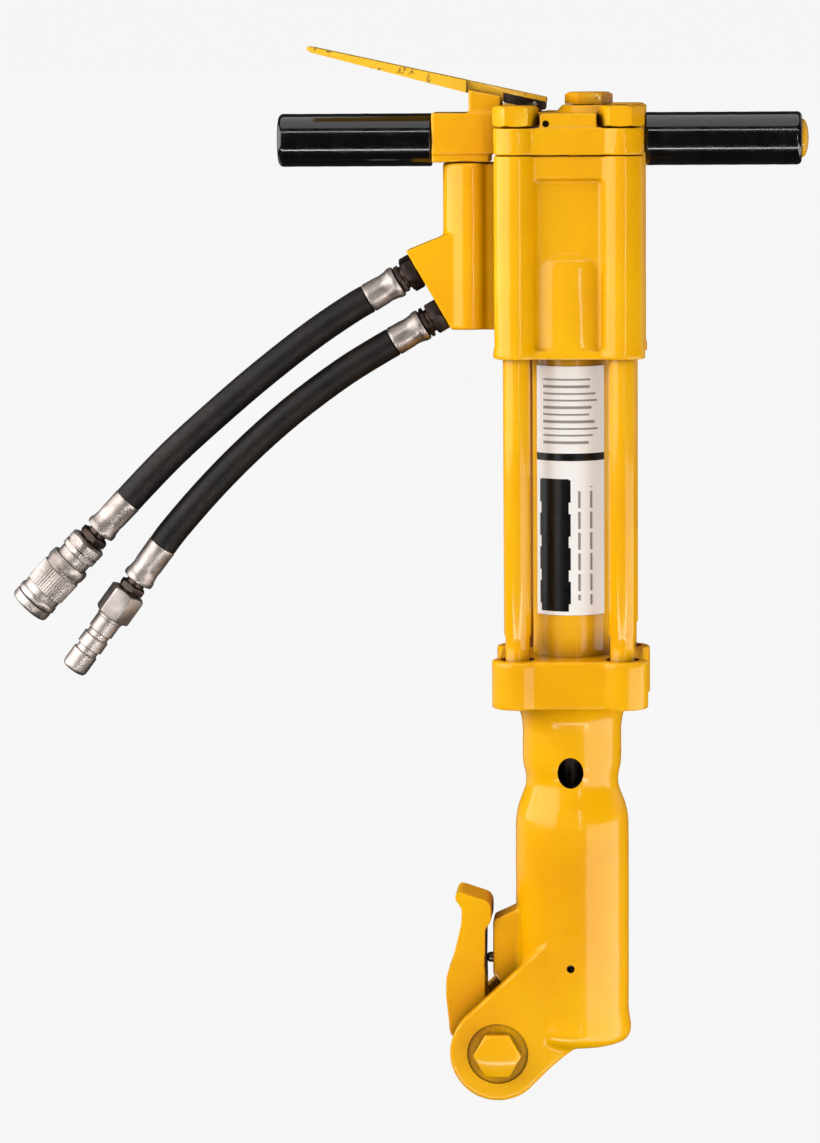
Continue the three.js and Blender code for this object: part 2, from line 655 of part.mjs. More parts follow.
function leftGrip() {
  const near = HANDLE.armLeft - GAP;
  const g = GRIP;
  return barTurned([
    [0, g.leftEnd], [g.outerR - g.round, g.leftEnd], [g.outerR, g.leftEnd + g.round],
    [g.outerR, near - 1], [g.outerR - 1, near], [g.innerR, near],
    [g.innerR, TUBE.leftEnd - GAP], [0, TUBE.leftEnd - GAP],
  ], true);
}

function rightGrip() {
  const near = HANDLE.right + GAP;
  const g = GRIP;
  return barTurned([
    [g.innerR, near], [g.outerR - 1, near], [g.outerR, near + 1],
    [g.outerR, g.rightEnd - g.round], [g.outerR - g.round, g.rightEnd], [g.innerR, g.rightEnd],
  ], false);
}

function hexPlug() {
  const p = PLUG;
  const head = hexagon(p.af, p.bossTop + GAP, p.top, p.x, 0, Math.PI / 6);
  const crown = turned([
    [0, p.bossTop], [p.af / 2 + 3, p.bossTop], [p.af / 2 + 3, p.top - 2.4], [p.af / 2 - 1, p.top], [0, p.top],
  ]).translate([p.x, 0, 0]);
  return join(head.intersect(crown), post(p.threadR, p.threadBottom, p.bossTop + 1, p.x, 0, SMALL));
}

function chargingValve() {
  return turned([
    [0, 604], [3, 604], [3, HANDLE.bottom + 1], [6, HANDLE.bottom + 1], [6, PLUG.threadBottom - 1],
    [0, PLUG.threadBottom - 1],
  ], SMALL).translate([PLUG.x, 0, 0]);
}

// ---------------------------------------------------------------- ports, hoses and couplers

// X of the slanted port face at a height; the face is square to the port axes.
function portFaceX(z) {
  return PORT.topX + (PORT.topZ - z) * Math.tan(PORT_FALL);
}

function portPlaces() {
  const fall = Math.PI / 2 - PORT_FALL;
  return [0, 1].map((i) => {
    const along = PORT.first + i * PORT.spacing;
    return { x: PORT.topX + along * Math.cos(fall), z: PORT.topZ - along * Math.sin(fall) };
  });
}

// Turns a piece built along +Z so that it points left and down by the angle of fall.
function pointed(manifold, x, z, fall) {
  const degrees = -90 - THREE.MathUtils.radToDeg(fall);
  return manifold.rotate([0, degrees, 0]).translate([x, 0, z]);
}

function portBore(x, z) {
  return pointed(post(PORT.boreR, -PORT.depth - GAP, 4, 0, 0, SMALL), x, z, PORT_FALL);
}

function adapter() {
  return join(
    post(PORT.boreR - GAP, -PORT.depth, 1, 0, 0, SMALL),
    hexagon(22, 0.5, 9.5),
    post(8.6, 9, 12.5, 0, 0, SMALL),
    hexagon(19, 12, FERRULE.startFrom - GAP),
  );
}

function ferrule(from, to) {
  const f = FERRULE;
  return turned([
    [0, from], [f.lipR - 0.8, from], [f.lipR, from + 1], [f.lipR, from + 4], [f.r, from + 6],
    [f.r, to - 1], [f.r - 0.6, to], [0, to],
  ]);
}

function hose(route) {
  const points = route.map(([x, z]) => new THREE.Vector3(x, 0, z));
  const path = new THREE.CatmullRomCurve3(points, false, 'centripetal');
  const section = new THREE.Shape();
  for (let i = 0; i < HOSE.sides; i += 1) {
    const angle = 2 * Math.PI * i / HOSE.sides;
    const place = [HOSE.r * Math.cos(angle), HOSE.r * Math.sin(angle)];
    if (i === 0) section.moveTo(...place);
    else section.lineTo(...place);
  }
  section.closePath();
  return solid(new THREE.ExtrudeGeometry(section, { extrudePath: path, steps: HOSE.steps }));
}

// The couplers are built along +Z from the hose's end, over a ferrule of the given length.
function femaleParts({ ferrule: start, length }) {
  const s = start + GAP;
  const tip = start + length;
  const stem = join(
    post(6.8, s, s + 9, 0, 0, SMALL), hexagon(19, s + 3, s + 8.5), post(5, s + 8, s + 16, 0, 0, SMALL),
  );
  const shell = turned([
    [0, s + 9.5], [12, s + 9.5], [14, s + 11], [14, s + 22], [12, s + 22], [12, tip - 7],
    [14.6, tip - 7], [14.6, tip - 1.5], [13.4, tip], [0, tip],
  ]);
  const hollow = [
    post(9, tip - 30, tip + 1), post(5.3, s + 8, s + 16.5, 0, 0, SMALL), post(3, s + 15, tip, 0, 0, SMALL),
  ];
  const sleeve = ring([
    [12.3, s + 29], [14.4, s + 29], [15, s + 31], [15, s + 35], [14.2, s + 37],
    [14.2, tip - 11], [15, tip - 10], [15, tip - 7.4], [12.3, tip - 7.4],
  ]);
  const poppet = turned([
    [0, tip - 19], [4, tip - 19], [8.7, tip - 14], [8.7, tip - 1.2], [0, tip - 1.2],
  ], SMALL);
  return { stem, body: cut(shell, ...hollow), sleeve, poppet };
}

function maleParts({ ferrule: start, length }) {
  const s = start + GAP;
  const tip = start + length;
  const stem = join(
    post(6.8, s, s + 9, 0, 0, SMALL), hexagon(17, s + 3, s + 8.5), post(5, s + 8, s + 16, 0, 0, SMALL),
  );
  const nut = join(hexagon(23, s + 9.5, s + 31), post(9.6, s + 30, s + 33));
  const nose = turned([
    [0, s + 32], [9.4, s + 32], [9.4, s + 44], [8, s + 45], [8, s + 48], [9.4, s + 49],
    [9.4, s + 57], [8, s + 58], [8, s + 61], [9.2, s + 62], [9.2, tip - 3], [8.2, tip], [0, tip],
  ]);
  const hollow = [
    post(6.3, tip - 24, tip + 1, 0, 0, SMALL), post(5.3, s + 8, s + 16.5, 0, 0, SMALL),
    post(3, s + 15, tip, 0, 0, SMALL),
  ];
  const poppet = turned([
    [0, tip - 16], [3.4, tip - 16], [6, tip - 12], [6, tip - 0.8], [0, tip - 0.8],
  ], SMALL);
  return { stem, body: cut(join(nut, nose), ...hollow), poppet };
}

// ---------------------------------------------------------------- assembly

const breaker = new THREE.Group();

function place(name, manifold, colour, parent = breaker) {
  const mesh = new THREE.Mesh(geometryOf(manifold), material(colour));
  mesh.name = name;
  parent.add(mesh);
}

function placeFoot() {
  place('foot', foot(), 'yellow');
  place('tool_bushing', toolBushing(), 'steel');
  place('latch', latch(), 'yellow');
  place('latch_bolt', latchBolt(), 'yellow');
  place('latch_nut', latchNut(), 'yellow');
  place('detent_shell', detentShell(), 'dark');
  place('detent_pin', detentPin(), 'steel');
  place('piston_bushing', pistonBushing(), 'bronze');
}

function placePower() {
  const names = ['front_left', 'front_right', 'rear_left', 'rear_right'];
  atRods(sideRod).forEach((rod, i) => place(`side_rod_${names[i]}`, rod, 'yellow'));
  atRods(capNut).forEach((nut, i) => place(`cap_nut_${names[i]}`, nut, 'yellow'));
  place('cylinder', cylinder(), 'yellow');
  place('rating_label', label(), 'white');
  place('piston', piston(), 'bright');
  place('main_housing', housing(), 'yellow');
  place('reversing_valve_body', valveBody(), 'steel');
  place('reversing_valve', reversingValve(), 'bright');
  place('accumulator_base', accumulatorBase(), 'steel');
  place('accumulator_diaphragm', diaphragm(), 'rubber');
  place('accumulator_chamber', accumulatorChamber(), 'steel');
}

function placeHandle() {
  place('handle_casting', handleCasting(), 'yellow');
  place('handle_tube_left', leftTube(), 'yellow');
  place('handle_tube_right', rightTube(), 'yellow');
  place('grip_left', leftGrip(), 'grip');
  place('grip_right', rightGrip(), 'grip');
  place('charging_plug', hexPlug(), 'yellow');
  place('charging_valve', chargingValve(), 'bronze');
  place('trigger_lever', triggerLever(), 'yellow');
  place('trigger_saddle', triggerSaddle(), 'dark');
  place('trigger_pin', triggerPin(), 'steel');
  place('throttle_spool', spool(), 'bright');
  place('throttle_spring', spoolSpring(), 'steel');
  place('throttle_gland', spoolGland(), 'bronze');
  place('throttle_bore_plug', spoolPlug(), 'dark');
}

function turnedGroup(x, z, fall) {
  const group = new THREE.Group();
  group.position.set(x, 0, z);
  group.rotation.y = -Math.PI / 2 - fall;
  breaker.add(group);
  return group;
}

function placeHoseEnd(level, route, fall, end) {
  const [x, z] = route[route.length - 1];
  const group = turnedGroup(x, z, fall);
  place(`ferrule_end_${level}`, ferrule(GAP, end.ferrule), 'bright', group);
  return group;
}

function placeHoses() {
  const levels = [['upper', UPPER_ROUTE], ['lower', LOWER_ROUTE]];
  levels.forEach(([level, route], i) => {
    const { x, z } = portPlaces()[i];
    const group = turnedGroup(x, z, PORT_FALL);
    place(`port_adapter_${level}`, adapter(), 'dark', group);
    place(`ferrule_start_${level}`, ferrule(FERRULE.startFrom, FERRULE.startTo), 'bright', group);
    place(`hose_${level}`, hose(route), 'rubber');
  });
}

function placeCouplers() {
  const upper = placeHoseEnd('upper', UPPER_ROUTE, UPPER_FALL, UPPER_END);
  const female = femaleParts(UPPER_END);
  place('female_coupler_stem', female.stem, 'dark', upper);
  place('female_coupler_body', female.body, 'bright', upper);
  place('female_coupler_sleeve', female.sleeve, 'bright', upper);
  place('female_coupler_poppet', female.poppet, 'steel', upper);
  const lower = placeHoseEnd('lower', LOWER_ROUTE, LOWER_FALL, LOWER_END);
  const male = maleParts(LOWER_END);
  place('male_coupler_stem', male.stem, 'dark', lower);
  place('male_coupler_body', male.body, 'bright', lower);
  place('male_coupler_poppet', male.poppet, 'steel', lower);
}

placeFoot();
placePower();
placeHandle();
placeHoses();
placeCouplers();

export default breaker;
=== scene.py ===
import json
import math

import bmesh
import bpy
from mathutils import Euler, Matrix, Vector, noise


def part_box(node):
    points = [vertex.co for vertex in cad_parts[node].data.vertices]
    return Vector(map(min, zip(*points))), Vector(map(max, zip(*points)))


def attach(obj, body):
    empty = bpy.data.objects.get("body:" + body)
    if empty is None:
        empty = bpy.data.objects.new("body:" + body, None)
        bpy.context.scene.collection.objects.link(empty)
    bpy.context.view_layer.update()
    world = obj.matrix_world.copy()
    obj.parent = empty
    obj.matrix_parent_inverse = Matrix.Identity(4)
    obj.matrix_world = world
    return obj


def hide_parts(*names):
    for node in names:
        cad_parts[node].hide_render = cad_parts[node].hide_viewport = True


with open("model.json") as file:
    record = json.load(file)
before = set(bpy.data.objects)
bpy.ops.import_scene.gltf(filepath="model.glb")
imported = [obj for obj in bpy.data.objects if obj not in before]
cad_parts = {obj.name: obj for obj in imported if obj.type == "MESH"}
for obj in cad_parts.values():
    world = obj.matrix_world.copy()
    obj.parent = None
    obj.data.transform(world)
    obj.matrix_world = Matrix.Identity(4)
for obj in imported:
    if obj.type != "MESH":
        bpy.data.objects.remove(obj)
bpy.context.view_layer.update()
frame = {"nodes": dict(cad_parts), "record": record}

MM = 0.001
RECORD = frame["record"]
BODY_OF = {node: body for body, nodes in RECORD["behaviour"]["bodies"].items() for node in nodes}

# ---------------- camera and hoses

CAMERA_DISTANCE = 3.10        # level distance from the tool axis, metres
CAMERA_HEIGHT = 0.719
CAMERA_AZIMUTH = 2.0          # degrees round to the right of the tool's front
CAMERA_PITCH = 7.20           # degrees down
CAMERA_YAW = 2.05             # degrees to the left of the tool axis
CAMERA_ROLL = -0.41
LENS = 143.3                  # millimetres on a 36 mm long side


def linked(name, data):
    """A new object in the scene."""
    thing = bpy.data.objects.new(name, data)
    bpy.context.collection.objects.link(thing)
    return thing


def make_camera():
    azimuth = math.radians(CAMERA_AZIMUTH)
    data = bpy.data.cameras.new("camera")
    data.lens = LENS
    data.sensor_width = 36
    data.clip_end = 100
    camera = linked("camera", data)
    camera.location = (
        CAMERA_DISTANCE * math.sin(azimuth), -CAMERA_DISTANCE * math.cos(azimuth), CAMERA_HEIGHT,
    )
    level = Euler((math.radians(90 - CAMERA_PITCH), 0, azimuth + math.radians(CAMERA_YAW))).to_matrix()
    camera.rotation_euler = (level @ Matrix.Rotation(math.radians(CAMERA_ROLL), 3, "Z")).to_euler()
    bpy.context.scene.camera = camera


# Centre lines of the two hoses, as (x, z) in millimetres in the plane y = 0.
HOSE_ROUTES = {
    "upper": [
        (-138.8, 514.4), (-147.5, 509.4), (-173.9, 491.9), (-210.2, 464.1),
        (-243.2, 436.2), (-274.3, 408.2), (-299, 383), (-305.1, 376.5),
    ],
    "lower": [
        (-121.7, 484.8), (-130.4, 479.8), (-154.9, 464.7), (-192.6, 436.8),
        (-224.3, 408.8), (-251.9, 380.7), (-276.7, 352.1), (-282, 344.9),
    ],
}
HOSE_R = 10.05
HOSE_STEPS = 4                # curve points for each stretch between two route points
PORT_FALL = math.pi / 6       # the port axes fall 30 degrees below level, to the left
END_FALL = {"upper": 0.8116, "lower": 0.9372}


def spline_through(points, steps):
    """Points on a centripetal Catmull-Rom line through all of points."""
    ends = [2 * points[0] - points[1], *points, 2 * points[-1] - points[-2]]
    line = []
    for a, b, c, d in zip(ends, ends[1:], ends[2:], ends[3:]):
        t = [0.0]
        for p, q in ((a, b), (b, c), (c, d)):
            t.append(t[-1] + math.sqrt((q - p).length))
        for i in range(steps):
            u = t[1] + (t[2] - t[1]) * i / steps
            p = [mix(x, y, t[k], t[k + 1], u) for k, (x, y) in enumerate(((a, b), (b, c), (c, d)))]
            q = [mix(p[k], p[k + 1], t[k], t[k + 2], u) for k in (0, 1)]
            line.append(mix(q[0], q[1], t[1], t[2], u))
    return [*line, points[-1]]


def mix(a, b, start, end, u):
    return a * (end - u) / (end - start) + b * (u - start) / (end - start)


def make_hose(level):
    route = [Vector((x, 0, z)) * MM for x, z in HOSE_ROUTES[level]]
    line = spline_through(route, HOSE_STEPS)
    curve = bpy.data.curves.new(f"hose_{level}_cover", "CURVE")
    curve.dimensions = "3D"
    spline = curve.splines.new("POLY")
    spline.points.add(len(line) - 1)
    for point, place in zip(spline.points, line):
        point.co = (*place, 1)
    curve.bevel_depth = HOSE_R * MM
    curve.bevel_resolution = 12
    curve.use_fill_caps = True
    hose = linked(f"hose_{level}_cover", curve)
    length = sum((q - p).length for p, q in zip(line, line[1:]))
    return hose, line[0], length


# ---------------- mesh tools, in millimetres

FINE = 96                     # sides of the largest turned pieces
ROUND = 64
SMALL = 32
SMOOTH_ANGLE = 38             # edges sharper than this stay sharp, degrees


def bounds_mm(node):
    low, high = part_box(node)
    return low / MM, high / MM


def centre_mm(node):
    low, high = bounds_mm(node)
    return (low + high) / 2


def revolve(profile, sides=ROUND, at=(0, 0, 0), closed=False):
    """A turned solid about Z from (radius, z) points. A closed profile makes a ring."""
    mesh = bmesh.new()
    rings = []
    for r, z in profile:
        if r < 1e-6:
            rings.append([mesh.verts.new((0, 0, z))])
            continue
        turns = [2 * math.pi * i / sides for i in range(sides)]
        rings.append([mesh.verts.new((r * math.cos(a), r * math.sin(a), z)) for a in turns])
    pairs = list(zip(rings, rings[1:]))
    if closed:
        pairs.append((rings[-1], rings[0]))
    for low, high in pairs:
        for i in range(sides):
            j = (i + 1) % sides
            corners = [low[i % len(low)], low[j % len(low)], high[j % len(high)], high[i % len(high)]]
            corners = list(dict.fromkeys(corners))
            if len(corners) > 2:
                mesh.faces.new(corners)
    bmesh.ops.recalc_face_normals(mesh, faces=mesh.faces)
    mesh.transform(Matrix.Translation(at))
    return mesh


def prism(outline, start, end, axis="z"):
    """An extruded outline: (x, y) points from z start to end, or (x, z) points from y start to end."""
    mesh = bmesh.new()
    place = (lambda a, b, c: (a, b, c)) if axis == "z" else (lambda a, b, c: (a, c, b))
    low = [mesh.verts.new(place(a, b, start)) for a, b in outline]
    high = [mesh.verts.new(place(a, b, end)) for a, b in outline]
    mesh.faces.new(low)
    mesh.faces.new(high)
    for i in range(len(outline)):
        j = (i + 1) % len(outline)
        mesh.faces.new((low[i], low[j], high[j], high[i]))
    bmesh.ops.recalc_face_normals(mesh, faces=mesh.faces)
    return mesh


def block(x0, x1, y0, y1, z0, z1):
    return prism([(x0, y0), (x1, y0), (x1, y1), (x0, y1)], z0, z1)


def post(r, z0, z1, x=0, y=0, sides=ROUND):
    return revolve([(0, z0), (r, z0), (r, z1), (0, z1)], sides, (x, y, 0))


def across(r, y0, y1, x, z, sides=ROUND):
    """A cylinder along Y."""
    mesh = post(r, y0, y1, 0, 0, sides)
    mesh.transform(Matrix.Translation((x, 0, z)) @ Matrix.Rotation(-math.pi / 2, 4, "X"))
    return mesh


def along(r, x0, x1, z):
    """A cylinder along X."""
    return turned(post(r, x0, x1), z)


def turned(mesh, z, x=0):
    """Turns a mesh built along +Z to lie along +X from (x, z)."""
    mesh.transform(Matrix.Translation((x, 0, z)) @ Matrix.Rotation(math.pi / 2, 4, "Y"))
    return mesh


def hexagon(flats, z0, z1, turn=0.0):
    r = flats / math.sqrt(3)
    angles = [turn + math.pi * i / 3 for i in range(6)]
    return prism([(r * math.cos(a), r * math.sin(a)) for a in angles], z0, z1)


def crowned_hexagon(flats, z0, z1, crown, turn=0.0, both=False):
    """A hexagon whose corners a cone has turned off at the top, and at the bottom if both."""
    r = flats / math.sqrt(3)
    lip = crown * 1.9
    cone = [(0, z1), (flats / 2 - 0.8, z1), (flats / 2 - 0.8 + lip, z1 - crown), (r + 2, z1 - crown)]
    base = [(flats / 2 - 0.8 + lip, z0 + crown), (flats / 2 - 0.8, z0)] if both else [(r + 2, z0)]
    whole = to_object("hexagon", hexagon(flats, z0, z1, turn))
    keep = to_object("cone", revolve([*cone, *([(r + 2, z0 + crown)] if both else []), *base, (0, z0)]))
    return boolean(whole, [keep], "INTERSECT")


def lifted(z, *points):
    """(radius, z) points from points whose heights count from z."""
    return [(r, z + rise) for r, rise in points]


def to_object(name, mesh):
    """Links a bmesh as an object. The mesh stays in millimetres until finish_piece."""
    data = bpy.data.meshes.new(name)
    mesh.to_mesh(data)
    mesh.free()
    return linked(name, data)


def joined(name, meshes):
    """One object that holds several closed shells."""
    whole = bmesh.new()
    for mesh in meshes:
        data = bpy.data.meshes.new("shell")
        mesh.to_mesh(data)
        mesh.free()
        whole.from_mesh(data)
        bpy.data.meshes.remove(data)
    return to_object(name, whole)


def apply_modifiers(thing):
    evaluated = thing.evaluated_get(bpy.context.evaluated_depsgraph_get())
    data = bpy.data.meshes.new_from_object(evaluated)
    old = thing.data
    thing.modifiers.clear()
    thing.data = data
    bpy.data.meshes.remove(old)
    return thing


def boolean(thing, others, operation="DIFFERENCE"):
    for other in others:
        step = thing.modifiers.new("step", "BOOLEAN")
        step.operation = operation
        step.solver = "MANIFOLD"
        step.object = other
    apply_modifiers(thing)
    for other in others:
        bpy.data.objects.remove(other)
    return thing


def cut(thing, meshes):
    return boolean(thing, [to_object("cutter", mesh) for mesh in meshes])


def fused(name, meshes, voxel=1.2, smooth=8, lump=0.0, lump_size=16.0):
    """A casting: the shells run together with soft fillets, and the skin is slightly uneven."""
    thing = joined(name, meshes)
    remesh = thing.modifiers.new("remesh", "REMESH")
    remesh.mode = "VOXEL"
    remesh.voxel_size = voxel
    soften = thing.modifiers.new("soften", "SMOOTH")
    soften.factor = 0.5
    soften.iterations = smooth
    apply_modifiers(thing)
    if lump:
        uneven(thing, lump, lump_size)
    return thing


def uneven(thing, amount, size):
    """Moves each point along its normal by smooth noise of that amount and size, in millimetres."""
    normals = [v.normal.copy() for v in thing.data.vertices]
    for v, normal in zip(thing.data.vertices, normals):
        place = v.co / size
        swell = noise.noise(place) + 0.4 * noise.noise(place * 3.1 + Vector((7, 3, 1)))
        v.co += normal * amount * swell


def bevelled(thing, width, segments=3, angle=30):
    bevel = thing.modifiers.new("bevel", "BEVEL")
    bevel.width = width
    bevel.segments = segments
    bevel.limit_method = "ANGLE"
    bevel.angle_limit = math.radians(angle)
    return apply_modifiers(thing)


def finish_piece(thing, name, material, node):
    """Scales a piece to metres, shades it, and puts it in the place of its CAD node."""
    thing.name = name
    thing.data.name = name
    thing.data.transform(Matrix.Scale(MM, 4))
    thing.data.materials.clear()
    thing.data.materials.append(MATERIALS[material])
    for face in thing.data.polygons:
        face.use_smooth = True
        face.material_index = 0
    thing.data.set_sharp_from_angle(angle=math.radians(SMOOTH_ANGLE))
    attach(thing, BODY_OF[node])
    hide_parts(node)


def pointed(thing, x, z, fall):
    """Turns a piece built along +Z so that it points left and falls by that angle from (x, z)."""
    turn = Matrix.Rotation(-math.pi / 2 - fall, 4, "Y")
    thing.data.transform(Matrix.Translation((x, 0, z)) @ turn)
    return thing


def arc(x, y, r, start, end, steps):
    span = end - start
    return [
        (x + r * math.cos(start + span * i / steps), y + r * math.sin(start + span * i / steps))
        for i in range(steps + 1)
    ]


def softened(outline, r, steps=5):
    """The outline with each corner rounded to r, or to what its sides have room for."""
    points = [Vector(p) for p in outline]
    result = []
    for i, here in enumerate(points):
        before = points[i - 1] - here
        after = points[(i + 1) % len(points)] - here
        turn = before.angle(after)
        reach = min(r / math.tan(turn / 2), before.length * 0.45, after.length * 0.45)
        start = here + before.normalized() * reach
        end = here + after.normalized() * reach
        for k in range(steps + 1):
            t = k / steps
            result.append(tuple((1 - t) ** 2 * start + 2 * t * (1 - t) * here + t * t * end))
    return result


# ---------------- materials

def srgb(r, g, b):
    values = [c / 255 for c in (r, g, b)]
    return (*[c / 12.92 if c <= 0.04045 else ((c + 0.055) / 1.055) ** 2.4 for c in values], 1)


MIX_SOCKETS = (0, 6, 7)       # a colour Mix node's factor, A and B
MIX_RESULT = 2


class Surface:
    """A Principled material and short calls for the nodes that feed it."""

    def __init__(self, name, **sockets):
        self.material = bpy.data.materials.new(name)
        self.material.use_nodes = True
        self.tree = self.material.node_tree
        self.shader = self.tree.nodes["Principled BSDF"]
        for key, value in sockets.items():
            self.shader.inputs[key.replace("_", " ")].default_value = value
        self.place = self.add("TexCoord").outputs["Object"]

    def link(self, source, target):
        self.tree.links.new(source, target)

    def add(self, kind, **sockets):
        node = self.tree.nodes.new("ShaderNode" + kind)
        for key, value in sockets.items():
            node.inputs[key.replace("_", " ")].default_value = value
        return node

    def noise(self, scale, detail=4, roughness=0.55, stretch=(1, 1, 1)):
        mapping = self.add("Mapping", Scale=stretch)
        self.link(self.place, mapping.inputs["Vector"])
        node = self.add("TexNoise", Scale=scale, Detail=detail, Roughness=roughness)
        self.link(mapping.outputs["Vector"], node.inputs["Vector"])
        return node.outputs["Fac"]

    def range(self, value, low, high, out_low=0.0, out_high=1.0):
        node = self.add("MapRange", From_Min=low, From_Max=high, To_Min=out_low, To_Max=out_high)
        self.link(value, node.inputs["Value"])
        return node.outputs["Result"]

    def ramp(self, value, *stops):
        node = self.add("ValToRGB")
        while len(node.color_ramp.elements) < len(stops):
            node.color_ramp.elements.new(0.5)
        for element, (position, colour) in zip(node.color_ramp.elements, stops):
            element.position = position
            element.color = colour
        self.link(value, node.inputs["Fac"])
        return node.outputs["Color"]

    def feed(self, socket, value):
        """Links a node output to the socket, or sets the socket to a plain value."""
        if isinstance(value, bpy.types.NodeSocket):
            self.link(value, socket)
        else:
            socket.default_value = value

    def blend(self, factor, first, second):
        node = self.add("Mix")
        node.data_type = "RGBA"
        for index, value in zip(MIX_SOCKETS, (factor, first, second)):
            self.feed(node.inputs[index], value)
        return node.outputs[MIX_RESULT]

    def times(self, first, second):
        node = self.add("Math")
        node.operation = "MULTIPLY"
        for socket, value in zip(node.inputs, (first, second)):
            self.feed(socket, value)
        return node.outputs["Value"]

    def crevice(self, distance):
        """0 on open surfaces, 1 deep in corners."""
        node = self.add("AmbientOcclusion", Distance=distance)
        node.samples = 6
        return self.range(node.outputs["AO"], 0.85, 0.25)

    def edge(self, low=0.53, high=0.62):
        """0 on flat surfaces, 1 on sharp outer edges."""
        geometry = self.add("NewGeometry")
        return self.range(geometry.outputs["Pointiness"], low, high)

    def bump(self, height, distance, strength=1.0, under=None):
        node = self.add("Bump", Strength=strength, Distance=distance)
        self.link(height, node.inputs["Height"])
        if under:
            self.link(under, node.inputs["Normal"])
        return node.outputs["Normal"]

    def finish(self, colour=None, roughness=None, normal=None):
        for key, value in (("Base Color", colour), ("Roughness", roughness), ("Normal", normal)):
            if value is not None:
                self.link(value, self.shader.inputs[key])
        return self.material


def yellow_enamel(name, grain, lumps):
    """Thick gloss enamel. grain is how far the cast skin shows through, and lumps its slower unevenness."""
    s = Surface(name, Coat_Weight=0.45, Coat_Roughness=0.1, Specular_IOR_Level=0.1)
    drift = s.noise(11, 3)
    colour = s.ramp(
        drift, (0.3, srgb(238, 164, 0)), (0.5, srgb(246, 177, 0)), (0.72, srgb(250, 186, 0)),
    )
    speckle = s.range(s.noise(420, 3), 0.62, 0.78, 0, 0.16)
    colour = s.blend(speckle, colour, srgb(206, 128, 0))
    # Painted highlight: sharp outer edges are lightened towards the pale highlight yellow.
    colour = s.blend(s.times(s.edge(), 0.45), colour, srgb(255, 212, 74))
    # Painted shade: corners, creases and recesses darken to deep brown by ambient occlusion.
    colour = s.blend(s.times(s.crevice(0.022), 0.95), colour, srgb(70, 28, 0))
    chips = s.times(s.edge(0.58, 0.66), s.range(s.noise(150, 5), 0.6, 0.64))
    colour = s.blend(s.times(chips, 0.7), colour, srgb(122, 92, 52))
    rough = s.range(s.noise(60, 4), 0.3, 0.7, 0.26, 0.42)
    slow = s.bump(s.noise(75, 2), 0.0008, lumps)
    fine = s.bump(s.noise(640, 3), 0.0002, grain, slow)
    return s.finish(colour, rough, fine)


def grip_vinyl():
    s = Surface("grip_vinyl", Coat_Weight=0.6, Coat_Roughness=0.05)
    colour = s.ramp(s.noise(30, 4), (0.3, srgb(4, 4, 4)), (0.7, srgb(11, 10, 10)))
    scuff = s.range(s.noise(90, 6, 0.7, (0.25, 1, 1)), 0.64, 0.74, 0, 0.35)
    colour = s.blend(scuff, colour, srgb(58, 54, 52))
    rough = s.range(s.noise(140, 5), 0.3, 0.7, 0.1, 0.24)
    return s.finish(colour, rough, s.bump(s.noise(55, 2), 0.0006, 0.25))


def hose_rubber():
    s = Surface("hose_rubber", Specular_IOR_Level=0.22)
    colour = s.ramp(s.noise(40, 5), (0.3, srgb(14, 11, 10)), (0.7, srgb(30, 24, 21)))
    dust = s.range(s.noise(12, 4), 0.5, 0.8, 0, 0.2)
    colour = s.blend(dust, colour, srgb(70, 56, 50))
    rough = s.range(s.noise(200, 5), 0.3, 0.7, 0.36, 0.55)
    wrap = s.bump(s.noise(900, 2), 0.00025, 0.5)
    return s.finish(colour, rough, s.bump(s.noise(70, 2), 0.0008, 0.3, wrap))


def metal(name, dark, light, rough_low, rough_high, grain=0.25, stain=None, stain_share=0.6):
    s = Surface(name, Metallic=1.0)
    colour = s.ramp(s.noise(55, 5), (0.3, dark), (0.7, light))
    if stain:
        patch = s.times(s.range(s.noise(38, 6, 0.65), 0.5, 0.66), stain_share)
        colour = s.blend(patch, colour, stain)
        colour = s.blend(s.times(s.crevice(0.004), 0.8), colour, stain)
    colour = s.blend(s.times(s.edge(), 0.5), colour, light)
    rough = s.range(s.noise(120, 5), 0.3, 0.7, rough_low, rough_high)
    return s.finish(colour, rough, s.bump(s.noise(700, 3), 0.00015, grain))


def label_film(name, colour, dirt):
    s = Surface(name, Coat_Weight=0.1, Coat_Roughness=0.2, Specular_IOR_Level=0.2)
    grime = s.range(s.noise(50, 5), 0.5, 0.78, 0, 0.18)
    tone = s.blend(grime, colour, dirt)
    rough = s.range(s.noise(160, 4), 0.3, 0.7, 0.25, 0.4)
    return s.finish(tone, rough, s.bump(s.noise(300, 3), 0.0001, 0.3))


def floor_paint():
    """A plain pale floor that glows evenly, as an over-lit studio table does."""
    s = Surface("floor_paint", Roughness=0.9, Emission_Strength=1.0)
    s.shader.inputs["Base Color"].default_value = (0, 0, 0, 1)
    s.shader.inputs["Specular IOR Level"].default_value = 0
    tone = s.ramp(s.noise(0.6, 3), (0.3, srgb(246, 246, 246)), (0.7, srgb(247, 247, 247)))
    s.link(tone, s.shader.inputs["Emission Color"])
    return s.finish()


